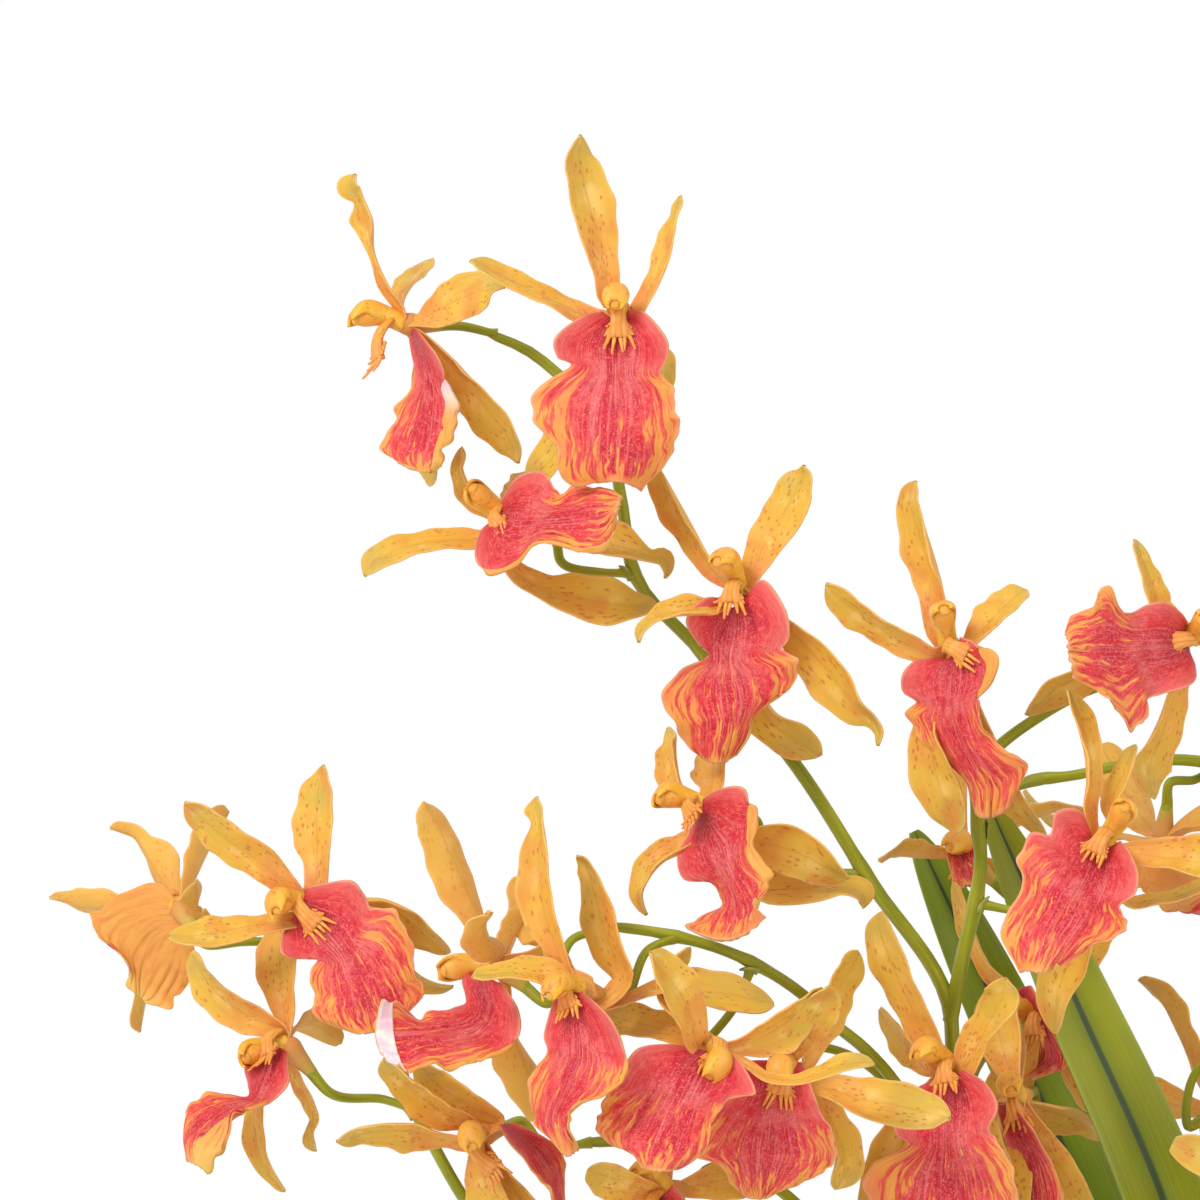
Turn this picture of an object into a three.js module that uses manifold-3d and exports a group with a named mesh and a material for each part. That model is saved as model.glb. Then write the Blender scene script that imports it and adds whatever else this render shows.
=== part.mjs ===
// A potted dendrobium orchid in flower: a plain round pot filled with bark, a fan of strap leaves
// and six arching sprays. Each bloom is a rosette of five amber tepals round a hooded column, with
// a broad raspberry lip below it.
// Millimetres, +Z up. The origin is the centre of the pot's flat foot and the sprays face -Y.

import * as THREE from "three";
import { mergeVertices } from "three/addons/utils/BufferGeometryUtils.js";
import Module from "manifold-3d";

const wasm = await Module();
wasm.setup();

// Driving dimensions
const POT_HEIGHT = 122;
const POT_MOUTH_RADIUS = 72;
const POT_FOOT_RADIUS = 51;
const POT_WALL = 5;
const POT_FLOOR = 9;
const POT_SIDES = 28;
const POT_WAIST = { height: 28, radius: 59 };
const POT_SHOULDER = { height: 72, radius: 67 };
const RIM_HEIGHT = 13;
const BARK_TOP = 110;
const BARK_CHIPS = 7;
const CHIP_SIZE = [21, 14, 8];
const GAP = 0.35; // left between two pieces that touch
const TEPAL_WIDTHS = [12.4, 11.4, 11.4, 12.4, 12.4];
const TEPAL_LENGTHS = [42, 40, 40, 44, 44];
const TEPAL_SPREADS = [0, -62, 62, -143, 143]; // degrees round the face, from its top
const TEPAL_SWEEPS = [-8, -4, -4, -24, -24]; // degrees forward of the face
const TEPAL_VARIES = { spread: 9, sweep: 14, turn: 40, length: [-3, 2], sway: 3 };
const TEPAL_BOW = [-2, 3]; // least and most, forward at its middle
const TEPAL_HOOK = [-7, 3]; // forward at its tip
const TEPAL_CHANNEL = [0.2, 0.42]; // rise of its edges, as a share of its half width
const TEPAL_THICKNESS = 1.7;
const TEPAL_STATIONS = [0.05, 0.4, 0.82, 1]; // shares of its length that carry a section
const LIP_LENGTH = 45.5;
const LIP_THICKNESS = 1.1;
const LIP_RISE = 0.3; // how far the lip's root is above the bloom's heart
const LIP_SHOULDER = 2.6; // how far its top edge rises beside the column
const LIP_FORWARD = 3.6; // how far its root is in front of the heart
const LIP_BELLY = 3;
const LIP_TIP_FALL = 10;
const LIP_LOBE_CURL = 5;
const LIP_APRON_FALL = 3.5;
const LIP_RUFFLE = 2.4;
const COLUMN_LENGTH = 13.5;
const COLUMN_RADII = [[0, 2.7], [0.75, 3.9], [1.05, 2.6]]; // at shares of its length
const COLUMN_LEAN = [0.78, 0.6]; // out of the face and up it
const COLUMN_ARCH = 1.6;
const CREST_LENGTH = 12;
const CREST_LEAN = [0.8, -0.6];
const CREST_HALF_WIDTHS = [1.6, 3.6]; // at its root and across its fingers
const CREST_FORK = 0.72; // where its fingers part, as a share of its length
const CREST_THICKNESS = 1.8;
const CREST_PLACE = { out: 2.4, over: 0.8 };
const SLEEVE_FRONT = 2.2;
const SLEEVE_LENGTH = 10;
const SLEEVE_RADII = [4.6, 1.9];
const STALK_RADII = [1.2, 1.6];
const STALK_RUN_IN = 6; // the straight stretch behind the sleeve
const LEAF_WIDTH = 21.5;
const LEAF_THICKNESS = 2.4;
const LEAF_FOLD = 0.3; // rise of its edges, as a share of its half width
const LEAF_STEPS = 11;

// Half width of the lip at each share of its length: side lobes, waist, then the broad apron
const LIP_OUTLINE = [
  [0, 4],
  [0.08, 10.5],
  [0.2, 14.3],
  [0.29, 13.6],
  [0.37, 11.8],
  [0.48, 16],
  [0.62, 18],
  [0.76, 16.6],
  [0.87, 14],
  [0.95, 11],
  [1, 7.5],
];
const LIP_ROWS = [0.08, 0.2, 0.36, 0.56, 0.8, 1];
const LIP_COLUMNS = [-1, -0.5, 0, 0.5, 1];

const amber = new THREE.MeshStandardMaterial({ color: 0xe2a53f, roughness: 0.55 });
const raspberry = new THREE.MeshStandardMaterial({ color: 0xcf4257, roughness: 0.6 });
const stemGreen = new THREE.MeshStandardMaterial({ color: 0x8f9a1c, roughness: 0.5 });
const leafGreen = new THREE.MeshStandardMaterial({ color: 0x6f8a1e, roughness: 0.4 });
const stoneware = new THREE.MeshStandardMaterial({ color: 0xd9d4ca, roughness: 0.45 });
const bark = new THREE.MeshStandardMaterial({ color: 0x6d4a30, roughness: 0.95 });

// Each bloom has the place of its heart, the way it looks and the way its lip hangs, the way the
// lip's face looks where that differs, how far the lip's end reaches forward, and how slim a
// rolled lip is. Its tepals run top, left, right, lower left, lower right. Each is its tip seen
// from the heart, how far its middle sways to the left of that line, and the degrees that its
// face is turned about it. A bloom with no tepals of its own takes them from the spreads above.
const BLOOMS = {
  a1: {
    heart: [-199.5, -6, 539.5], looks: [-0.93, -0.35, 0.12], hangs: [0.15, -0.42, -0.9],
    lipLooks: [-0.85, -0.5, 0],
    reach: 1, slim: 0.85,
    tepals: [
      [-12.5, -6, 36, 2, 0], [5, 34, 16, 0, 20], [24, -12, 8, 1, 0],
      [6, 14, -40, 0, 20], [28, -5, -35, 4, 60],
    ],
  },
  a2: {
    heart: [-145.5, -44, 543], looks: [0, -1, 0.06], hangs: [-0.06, -0.12, -1], reach: 1,
    tepals: [
      [-9.5, -2, 43, -2, 10], [-37, 4, 13, 0, 48], [16, 10, 29.5, -2, -55],
      [-21, 16, -41, 0, 10], [6, 18, -36, 3, 0],
    ],
  },
  a3: {
    heart: [-172.5, -21, 491], looks: [-0.75, -0.5, 0.4], hangs: [0.6, -0.8, -0.06], reach: 0, slim: 0.78,
    tepals: [
      [-12, 8, 18, 1, 60], [-38, -3, -14, -4, -20], [8, 32, 15, 0, 0],
      [40, -6, -13, 1, -30], [38, -1, -24, -1, -50],
    ],
  },
  a4: {
    heart: [-115.5, -36, 473.5], looks: [-0.2, -0.9, 0.35], hangs: [-0.2, 0, -1],
    lipLooks: [0.05, -1, 0.1], reach: 1,
    tepals: [
      [-21, 24, 35, 0, 40], [-24, -20, -12, -2, 15], [18, -4, 30, 1, 10],
      [22, 12, -42, 3, 20], [36, -2, -37, 6, 15],
    ],
  },
  a5: {
    heart: [-124, -38, 418.5], looks: [-0.78, -0.55, 0.25], hangs: [0.3, -0.6, -0.74], reach: 1, slim: 0.9,
    tepals: [
      [-6, 26, 18, 1, 30], [-14, 0, -27, -7, 20], [4, 34, 16, 0, 40],
      [41, 8, -25, 1, -45], [40, -2, -19, 4, -40],
    ],
  },
  a6: {
    heart: [-62.5, -38, 353.8], looks: [-0.3, -0.9, 0.25], hangs: [0.02, -0.1, -1], reach: 3,
    tepals: [
      [-17, 2, 39, 1, 5], [-17, 22, 15, 0, 10], [14, -14, 22, 0, 5],
      [-20, 8, -36, 0, 0], [12, -8, -34, 1, -30],
    ],
  },
  a7: {
    heart: [-38, 16, 366], looks: [-0.5, -0.75, 0.2], hangs: [0.5, 0.1, -0.85], reach: 2,
    tepals: [
      [-22.5, -6, 32, -1, 45], [-20, 12, 8, 0, 20], [18, 16, 26, 0, 10],
      [-14, 10, -34, 0, 0], [24, 8, -30, 0, 0],
    ],
  },
  a8: {
    heart: [-45, -20, 345], looks: [-0.3, -0.95, 0], hangs: [0.42, -0.05, -0.9], reach: 2,
    tepals: [
      [6, 4, 32, 0, 10], [-4, 26, 20, 0, 10], [26, 26, -4, 1, -20],
      [-3, -8, -36, 0, 0], [18, 10, -34, 0, 0],
    ],
  },
  b1: {
    heart: [-63, -40, 458.5], looks: [-0.2, -0.88, 0.35], hangs: [0.3, 0, -0.95],
    lipLooks: [-0.45, -0.88, -0.1],
    reach: 0, slim: 0.85,
    tepals: [
      [-9, 4, 42, -1, 45], [-30, -6, 16.5, 1, 35], [20, 4, 14, -2, 30],
      [0, 10, -46, -3, 10], [24, 12, -46, 1, 50],
    ],
  },
  b2: {
    heart: [-4, -34, 460], looks: [0.5, -0.84, 0.12], hangs: [-0.74, -0.66, -0.14], reach: 0,
    tepals: [
      [36, -4, 8, 0, 10], [20, 10, 32, 0, 20], [-15, 4, -38, 2, 10],
      [-13, 10, 26, -2, 40], [-39, 6, -17, -1, 30],
    ],
  },
  b3: {
    heart: [-24.5, -52, 410], looks: [0.1, -0.75, 0.65], hangs: [-0.46, -0.58, -0.67], reach: 1,
    tepals: [
      [13, 10, 32, 0, 40], [-9, 4, 38, -4, 45], [36, -8, -6, 2, 0],
      [-12, 14, -47, 2, 20], [25, 22, -17, 0, 40],
    ],
  },
  c1: {
    heart: [-175.5, -58, 379.5], looks: [-0.95, -0.25, 0], hangs: [-0.64, -0.58, -0.45],
    lipLooks: [-0.1, -0.5, 0.85],
    reach: 0, slim: 0.9,
    tepals: [
      [-18, -4, 38, 2, 45], [-8, 30, 10, 0, 20], [8, -20, 9, 0, 20],
      [16, 20, -30, 0, 20], [9, 8, -38, 0, 30],
    ],
  },
  c2: {
    heart: [-155, -78, 374], looks: [-0.6, -0.75, -0.1], hangs: [-0.06, -0.25, -1], reach: 3, slim: 0.9,
    tepals: [
      [-10.5, 2, 46, 1, 45], [-27, -8, 3, 0, -30], [47, 24, -4, 2, -25],
      [-8, 10, 18, 0, 30], [8, 18, -36, 0, 0],
    ],
  },
  c3: {
    heart: [-122, -70, 359.5], looks: [0.05, -0.92, -0.3], hangs: [-0.38, -0.5, -0.8],
    lipLooks: [0.1, -1, 0.5], reach: 1,
    tepals: [
      [-12, -14, 24, 1, 10], [-30, 20, 3, 1, 20], [12, 36, 6, 0, 20],
      [-10, 18, -36, 0, 0], [10, 24, -32, 0, 0],
    ],
  },
  c4: {
    heart: [-103.5, -56, 355], looks: [0.05, -0.92, -0.2], hangs: [-0.1, -0.1, -1], reach: 3,
    tepals: [
      [17, 14, 27, -2, 25], [11, -10, 20, 0, 20], [40, -14, -13, 4, -10],
      [-8, 22, -34, 0, 0], [14, 14, -31, 4, 0],
    ],
  },
  d1: {
    heart: [-224.5, -32, 394.5], looks: [-0.5, -0.84, 0.1], hangs: [0.52, -0.25, -0.8],
    lipLooks: [-0.2, -0.97, 0], reach: 1,
    tepals: [
      [5.5, 8, 34, -1, 10], [-29, -4, 25, 1, 20], [40, 14, -11, 3, 10],
      [-32, -8, -8, -1, 20], [37, 18, -21, 1, 30],
    ],
  },
  d2: {
    heart: [-256, 2, 392.5], looks: [-0.45, 0.85, 0.2], hangs: [-0.22, 0.5, -0.8], reach: -2, slim: 0.9,
    tepals: [
      [-17, 8, 22, -3, 20], [-33, 12, 3, -1, 30], [7, -10, 6, 2, 40],
      [-11, 20, -33, 0, 30], [10, 26, 24, 0, 0],
    ],
  },
  d3: {
    heart: [-228.5, -30, 359], looks: [-0.9, -0.3, -0.15], hangs: [-0.54, -0.6, -0.6],
    lipLooks: [-0.5, -0.5, 0.6],
    reach: 0, slim: 0.85,
    tepals: [
      [-3, 12, 27, 0, -50], [-22, 10, 20, -2, -45], [10, 30, 4, 0, 0],
      [0, -6, -36, 3, 20], [7, 8, -26, 3, 40],
    ],
  },
  e1: {
    heart: [-180, -36, 336], looks: [-0.5, -0.75, -0.4], hangs: [0.5, -0.2, -0.84],
    lipLooks: [0.3, -0.9, 0.3], reach: 2,
    tepals: [
      [-24, -10, 18, 2, 20], [-35, -8, -1, 2, 20], [4, 22, 30, 0, 0],
      [-2, 6, -36, 0, 20], [24, 14, -30, 0, 0],
    ],
  },
  e2: {
    heart: [-133, -38, 322], looks: [-0.6, -0.75, -0.2], hangs: [0.2, 0, -1], reach: 3,
    tepals: [
      [-20, -12, 7, 0, 0], [6, 20, 30, 0, 10], [28, 14, 6, 0, 10],
      [-8, 4, -38, 0, 0], [16, 12, -36, 0, 0],
    ],
  },
  f1: {
    heart: [-57, 28, 405], looks: [-0.5, -0.8, 0.1], hangs: [-0.2, -0.95, -0.25], lipLooks: [-0.2, -0.3, 0.9],
    reach: 0,
    tepals: [
      [-22, -8, 2, 1, 0], [-4, 8, 38, 0, 20], [30, 8, 14, 0, 0], [-26, 6, -18, 0, 20], [12, 8, -34, 0, 0],
    ],
  },
  f2: { heart: [-6, 62, 408], looks: [0.25, -0.5, -0.8], hangs: [0.1, -0.8, -0.6], reach: 3 },
  f3: { heart: [70, 22, 452], looks: [0.35, -0.9, 0.1], hangs: [0.1, 0, -1], reach: 3 },
  f4: { heart: [112, 64, 496], looks: [0.5, 0.8, 0.1], hangs: [0.1, 0, -1], reach: 3 },
  f5: { heart: [152, 26, 522], looks: [0.75, -0.6, 0.1], hangs: [0.1, 0, -1], reach: 3 },
  g1: { heart: [7, 32, 340], looks: [0.5, 0.8, 0.1], hangs: [0.4, 0, -0.9], reach: 3 },
  g2: { heart: [28, -40, 318], looks: [0.15, -0.95, 0], hangs: [-0.1, 0, -1], reach: 3 },
  g3: { heart: [84, -28, 350], looks: [0.45, -0.85, 0], hangs: [0, 0, -1], reach: 3 },
  g4: { heart: [132, 4, 384], looks: [0.8, -0.5, 0.05], hangs: [0, 0, -1], reach: 3 },
};

// Each spray's stems, from the bark up, and each bloom's stalk from where it leaves a stem. A
// whole spray is one piece with its rosettes.
const SPRAYS = {
  a: {
    stems: [
      {
        radii: [2.9, 1.5],
        route: [
          [-6, -4, 60], [-10, -5, 118], [-22, -8, 200], [-42, -11, 290], [-57, -13, 335], [-61, -14, 353],
          [-62, -14, 367], [-82.5, -14, 400], [-100, -14, 427.5], [-125, -12, 457.5], [-141, -10, 476],
          [-144.5, -8, 495], [-149, -5, 514], [-159.5, -2, 526], [-167.5, 0, 532.5], [-180, 1, 538],
        ],
      },
      {
        radii: [2.2, 1.4],
        route: [
          [-62, -14, 364], [-58.5, -16, 382], [-55.5, -18, 395], [-54.5, -20, 405], [-55.5, -21, 417],
          [-55, -18, 428], [-49, -14, 434], [-37.5, -12, 442], [-20, -12, 451],
        ],
      },
    ],
    stalks: {
      a1: [[-176, 1, 537]],
      a2: [[-147, -7, 506], [-148, -10, 525]],
      a3: [[-142, -10, 476.8], [-150, -11, 477], [-160, -12, 480]],
      a4: [[-122, -12, 455], [-117, -15, 462]],
      a5: [[-83, -14, 401], [-95, -13, 402], [-108, -17, 405]],
      a6: [[-60, -13, 340], [-60, -20, 345]],
      a7: [[-57, -13, 335], [-57, 6, 345], [-49, 30, 358]],
      a8: [[-47.6, -11.6, 307], [-41, -7, 320], [-40, -5, 335]],
      b1: [[-55.5, -20, 412], [-54, -18, 432]],
      b2: [[-25, -12, 449], [-14, -14, 455]],
      b3: [[-55.8, -18, 394], [-44, -20, 392], [-33, -30, 396]],
    },
  },
  c: {
    stems: [
      {
        radii: [2.7, 1.4],
        route: [
          [-16, -12, 60], [-20, -13, 118], [-32, -16, 190], [-50, -19, 265], [-65, -22, 318],
          [-74, -26, 346], [-84, -33, 358], [-92, -38, 364.5], [-100, -42, 372], [-115, -46, 381],
          [-135, -49, 387], [-150, -50, 389],
        ],
      },
    ],
    stalks: {
      c1: [[-146, -49.8, 388.4], [-156, -51, 386]],
      c2: [[-131, -48.4, 385.8], [-138, -56, 383]],
      c3: [[-112, -45, 379.3], [-115, -46, 371]],
      c4: [[-73, -25.6, 343], [-84, -25, 354], [-96, -31, 358]],
    },
  },
  d: {
    stems: [
      {
        radii: [2.7, 1.4],
        route: [
          [-26, -2, 60], [-32, -4, 118], [-62, -14, 185], [-105, -22, 240], [-150, -26, 282],
          [-184, -26, 320], [-192.5, -26, 335], [-197, -25, 344], [-201, -19, 356], [-208, -12, 370],
          [-218, -9, 380], [-232, -7, 385.5],
        ],
      },
    ],
    stalks: {
      d1: [[-214, -10.2, 376], [-218, -10, 386]],
      d2: [[-228, -7.6, 384], [-240, -9, 384]],
      d3: [[-196, -25.2, 342], [-204, -24, 343], [-210, -23, 352]],
    },
  },
  e: {
    whole: true,
    stems: [
      {
        radii: [2.6, 1.4],
        route: [
          [-4, -30, 60], [-8, -32, 118], [-30, -34, 180], [-60, -35, 240], [-85, -35, 290],
          [-102, -33, 320], [-120, -28, 330], [-140, -24, 334], [-156, -24, 334],
        ],
      },
    ],
    stalks: {
      e1: [[-152, -24, 334], [-164, -24, 333]],
      e2: [[-118, -28.5, 329.5], [-124, -31, 327]],
    },
  },
  f: {
    whole: true,
    stems: [
      {
        radii: [2.9, 1.5],
        route: [
          [8, 12, 60], [9, 15, 118], [15, 28, 200], [24, 40, 290], [36, 46, 370], [54, 46, 430],
          [78, 44, 478], [106, 40, 508], [130, 36, 520],
        ],
      },
      {
        radii: [2, 1.4],
        route: [
          [40, 46, 384], [30, 50, 412], [14, 53, 426], [0, 54, 429], [-17.5, 54, 427.5],
          [-30, 52, 425], [-42, 52, 424],
        ],
      },
    ],
    stalks: {
      f1: [[-36, 52, 424.5], [-46, 48, 421]],
      f2: [[8, 53.5, 428], [2, 60, 424]],
      f3: [[62, 45.5, 447], [66, 38, 456]],
      f4: [[94, 42, 496], [104, 46, 500]],
      f5: [[122, 37.5, 517], [134, 36, 522]],
    },
  },
  g: {
    whole: true,
    stems: [
      {
        radii: [2.6, 1.4],
        route: [
          [20, -8, 60], [24, -11, 118], [34, -14, 190], [42, -14, 250], [54, -12, 310], [74, -8, 350],
          [98, -4, 376], [116, 0, 386],
        ],
      },
      {
        radii: [1.9, 1.4],
        route: [[41, -14, 240], [40, -10, 290], [34, 0, 330], [20, 6, 350], [2, 8, 358]],
      },
    ],
    stalks: {
      g1: [[8, 7.3, 356], [-6, 10, 360]],
      g2: [[40, -11, 284], [33, -17, 304]],
      g3: [[66, -9.5, 336], [74, -13, 346]],
      g4: [[108, -2, 382], [117, 4, 387]],
    },
  },
};

// Each leaf's midline from the bark to its tip, and the way its grooved face looks
const LEAVES = {
  leaf_front_left: {
    looks: [0.35, -1, 0.1],
    route: [
      [16, -2, 60], [17, -3, 118], [17, -5, 200], [8, -8, 262],
      [-9, -10, 320], [-31, -10, 370], [-53, -9, 420],
    ],
  },
  leaf_back_left: {
    looks: [0.3, -1, 0.2],
    route: [
      [2, 26, 60], [1, 30, 118], [-1, 37, 200], [-11, 42, 270],
      [-28, 45, 320], [-49, 46, 366], [-70, 45, 411],
    ],
  },
  leaf_right: {
    looks: [-0.4, -0.6, 0.7],
    route: [[30, 6, 60], [34, 7, 118], [52, 10, 190], [82, 12, 250], [118, 12, 290], [156, 8, 306]],
  },
  leaf_back_right: {
    looks: [-0.2, -1, 0.3],
    route: [[16, 30, 60], [19, 35, 118], [32, 48, 200], [52, 64, 280], [76, 80, 340], [102, 94, 380]],
  },
  leaf_front_right: {
    looks: [-0.3, 0.5, 0.8],
    route: [[22, -30, 60], [25, -36, 118], [36, -56, 180], [52, -82, 228], [70, -112, 252]],
  },
};

// Numbers and vectors
const vec = (p) => new THREE.Vector3(...p);
const mix = (a, b, t) => a + (b - a) * t;
const smooth = (t) => {
  const s = Math.min(1, Math.max(0, t));
  return s * s * (3 - 2 * s);
};
const radians = THREE.MathUtils.degToRad;

// A fixed draw from 0 to 1 for the k-th choice about the j-th tepal of the i-th bloom
function draw(i, j, k) {
  const s = Math.sin(i * 12.9898 + j * 78.233 + k * 37.719) * 43758.5453;
  return s - Math.floor(s);
}

function alongTable(table, u) {
  const last = table.length - 1;
  for (let i = 0; i < last; i++) {
    const [u0, a] = table[i];
    const [u1, b] = table[i + 1];
    if (u <= u1) return mix(a, b, smooth((u - u0) / (u1 - u0)));
  }
  return table[last][1];
}

// The part of `direction` that is square to `axis`, at unit length
const squareTo = (direction, axis) =>
  direction.clone().addScaledVector(axis, -direction.dot(axis)).normalize();

// Solids
function solidOf(geometry) {
  const plain = new THREE.BufferGeometry();
  plain.setAttribute("position", geometry.getAttribute("position"));
  if (geometry.index) plain.setIndex(geometry.index);
  const merged = mergeVertices(plain, 1e-3);
  return new wasm.Manifold(
    new wasm.Mesh({
      numProp: 3,
      vertProperties: merged.attributes.position.array,
      triVerts: new Uint32Array(merged.index.array),
    }),
  );
}

// A closed solid from vertices and triangles, turned so that its faces point outwards
function solidFrom(points, triangles) {
  let volume = 0;
  for (const [a, b, c] of triangles) {
    volume += points[a].dot(new THREE.Vector3().crossVectors(points[b], points[c]));
  }
  const order = volume < 0 ? triangles.map(([a, b, c]) => [a, c, b]) : triangles;
  const geometry = new THREE.BufferGeometry().setFromPoints(points);
  geometry.setIndex(order.flat());
  return solidOf(geometry);
}

// Skins a row of rings, each with the same number of points, and closes both ends
function loft(rings) {
  const sides = rings[0].length;
  const triangles = [];
  for (let r = 0; r + 1 < rings.length; r++) {
    for (let s = 0; s < sides; s++) {
      const a = r * sides + s;
      const b = r * sides + ((s + 1) % sides);
      triangles.push([a, b, b + sides], [a, b + sides, a + sides]);
    }
  }
  const end = (rings.length - 1) * sides;
  for (let s = 1; s + 1 < sides; s++) {
    triangles.push([0, s + 1, s], [end, end + s, end + s + 1]);
  }
  return solidFrom(rings.flat(), triangles);
}

// A unit vector by its shares along two others
const between = (a, b, [shareOfA, shareOfB]) =>
  a.clone().multiplyScalar(shareOfA).addScaledVector(b, shareOfB).normalize();

function ringAt(centre, side, up, radius, sides) {
  return Array.from({ length: sides }, (_, s) => {
    const angle = (s / sides) * 2 * Math.PI;
    return centre
      .clone()
      .addScaledVector(side, radius * Math.cos(angle))
      .addScaledVector(up, radius * Math.sin(angle));
  });
}

// A round stalk through the points, its radius given along its length from 0 to 1
function stalk(points, radiusAt, sides) {
  const curve = new THREE.CatmullRomCurve3(points.map(vec), false, "centripetal");
  const spans = points.length - 1;
  let across = new THREE.Vector3(0.3, 1, 0.2);
  const rings = points.map((p, i) => {
    const along = curve.getTangent(i / spans);
    across = squareTo(across, along);
    const up = new THREE.Vector3().crossVectors(along, across);
    return ringAt(vec(p), across, up, radiusAt(i / spans), sides);
  });
  return loft(rings);
}

const joined = (solids) => wasm.Manifold.union(solids);

function largestBody(solid) {
  return solid.decompose().reduce((best, body) => (body.volume() > best.volume() ? body : best));
}

function meshOf(name, solid, material) {
  const { vertProperties, triVerts } = solid.getMesh();
  const geometry = new THREE.BufferGeometry();
  geometry.setAttribute("position", new THREE.BufferAttribute(new Float32Array(vertProperties), 3));
  geometry.setIndex(new THREE.BufferAttribute(new Uint32Array(triVerts), 1));
  geometry.computeVertexNormals();
  const mesh = new THREE.Mesh(geometry, material);
  mesh.name = name;
  return mesh;
}

// Axes out of a face, up it and to its right, from the way that it looks and the way that it hangs
function axesOf({ looks, hangs }) {
  const up = vec(hangs).normalize().negate();
  const out = squareTo(vec(looks), up);
  return { out, up, right: new THREE.Vector3().crossVectors(up, out) };
}

// A bloom's five tepals, each with its tip, its sway and its turn
function tepalsOf(bloom, number, { out, up, right }) {
  if (bloom.tepals) {
    return bloom.tepals.map(([x, y, z, sway, turn]) => ({ tip: new THREE.Vector3(x, y, z), sway, turn }));
  }
  return TEPAL_SPREADS.map((spread, j) => {
    const varied = (most, k) => mix(-most, most, draw(number, j, k));
    const round = radians(spread + varied(TEPAL_VARIES.spread, 1));
    const sweep = radians(TEPAL_SWEEPS[j] + varied(TEPAL_VARIES.sweep, 2));
    const length = TEPAL_LENGTHS[j] + mix(...TEPAL_VARIES.length, draw(number, j, 3));
    const tip = new THREE.Vector3()
      .addScaledVector(up, Math.cos(round) * Math.cos(sweep))
      .addScaledVector(right, Math.sin(round) * Math.cos(sweep))
      .addScaledVector(out, Math.sin(sweep))
      .multiplyScalar(length);
    return { tip, sway: varied(TEPAL_VARIES.sway, 5), turn: varied(TEPAL_VARIES.turn, 6) };
  });
}

// How wide a tepal is along its length, as a share of its full width
function tepalFullness(u) {
  const claw = 0.34 + 0.66 * smooth((u - 0.05) / 0.55);
  const end = u < 0.62 ? 1 : Math.sqrt(Math.max(0, 1 - ((u - 0.62) / 0.385) ** 2.6));
  return claw * Math.max(0.42, end);
}

// A strap-shaped tepal, bowed, twisted and channelled, on a four-cornered section
function tepal(heart, { tip, sway, turn }, out, width, number, j, grow) {
  const along = tip.clone().normalize();
  const face = squareTo(out, along);
  const side = new THREE.Vector3().crossVectors(face, along);
  const left = squareTo(new THREE.Vector3(0, -1, 0).cross(along), along);
  const bow = mix(...TEPAL_BOW, draw(number, j, 4));
  const hook = mix(...TEPAL_HOOK, draw(number, j, 7));
  const channel = mix(...TEPAL_CHANNEL, draw(number, j, 8));
  const rings = TEPAL_STATIONS.map((u) => {
    const arch = 4 * u * (1 - u);
    const end = Math.max(0, (u - 0.7) / 0.3) ** 2;
    const middle = heart
      .clone()
      .addScaledVector(tip, u)
      .addScaledVector(face, bow * arch + hook * end)
      .addScaledVector(left, sway * arch);
    const angle = radians(turn) * smooth(u / 0.5);
    const across = between(side, face, [Math.cos(angle), Math.sin(angle)]);
    const normal = between(face, side, [Math.cos(angle), -Math.sin(angle)]);
    const half = (width / 2) * tepalFullness(u) + grow;
    const lift = channel * half;
    const thick = TEPAL_THICKNESS / 2 + grow;
    return [
      middle.clone().addScaledVector(across, -half).addScaledVector(normal, lift),
      middle.clone().addScaledVector(normal, thick),
      middle.clone().addScaledVector(across, half).addScaledVector(normal, lift),
      middle.clone().addScaledVector(normal, -thick),
    ];
  });
  return loft(rings);
}

// The hooded column over the lip
function column(heart, { out, up, right }, grow) {
  const lean = between(out, up, COLUMN_LEAN);
  const over = squareTo(up, lean);
  const rings = COLUMN_RADII.map(([t, radius]) => {
    const centre = heart
      .clone()
      .addScaledVector(lean, COLUMN_LENGTH * t)
      .addScaledVector(over, COLUMN_ARCH * Math.sin(Math.PI * t));
    return ringAt(centre, right, over, radius + grow, 4);
  });
  return loft(rings);
}

// The crest under the column: a tongue that ends in two fingers
function crest(heart, { out, up, right }, grow) {
  const forward = between(out, up, CREST_LEAN);
  const over = squareTo(up, forward);
  const end = CREST_LENGTH + grow;
  const [root, across] = CREST_HALF_WIDTHS.map((half) => half + grow);
  const tongue = new THREE.Shape();
  tongue.moveTo(-root, -1);
  tongue.lineTo(root, -1);
  tongue.lineTo(across, end);
  tongue.lineTo(0, CREST_FORK * end);
  tongue.lineTo(-across, end);
  const thick = CREST_THICKNESS + 2 * grow;
  const slab = new THREE.ExtrudeGeometry(tongue, { depth: thick, bevelEnabled: false, steps: 1 });
  slab.translate(0, 0, -thick / 2);
  const place = new THREE.Matrix4();
  place.makeBasis(right, forward, new THREE.Vector3().crossVectors(right, forward));
  const { out: before, over: above } = CREST_PLACE;
  place.setPosition(heart.clone().addScaledVector(out, before).addScaledVector(over, above));
  return solidOf(slab.applyMatrix4(place));
}

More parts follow.
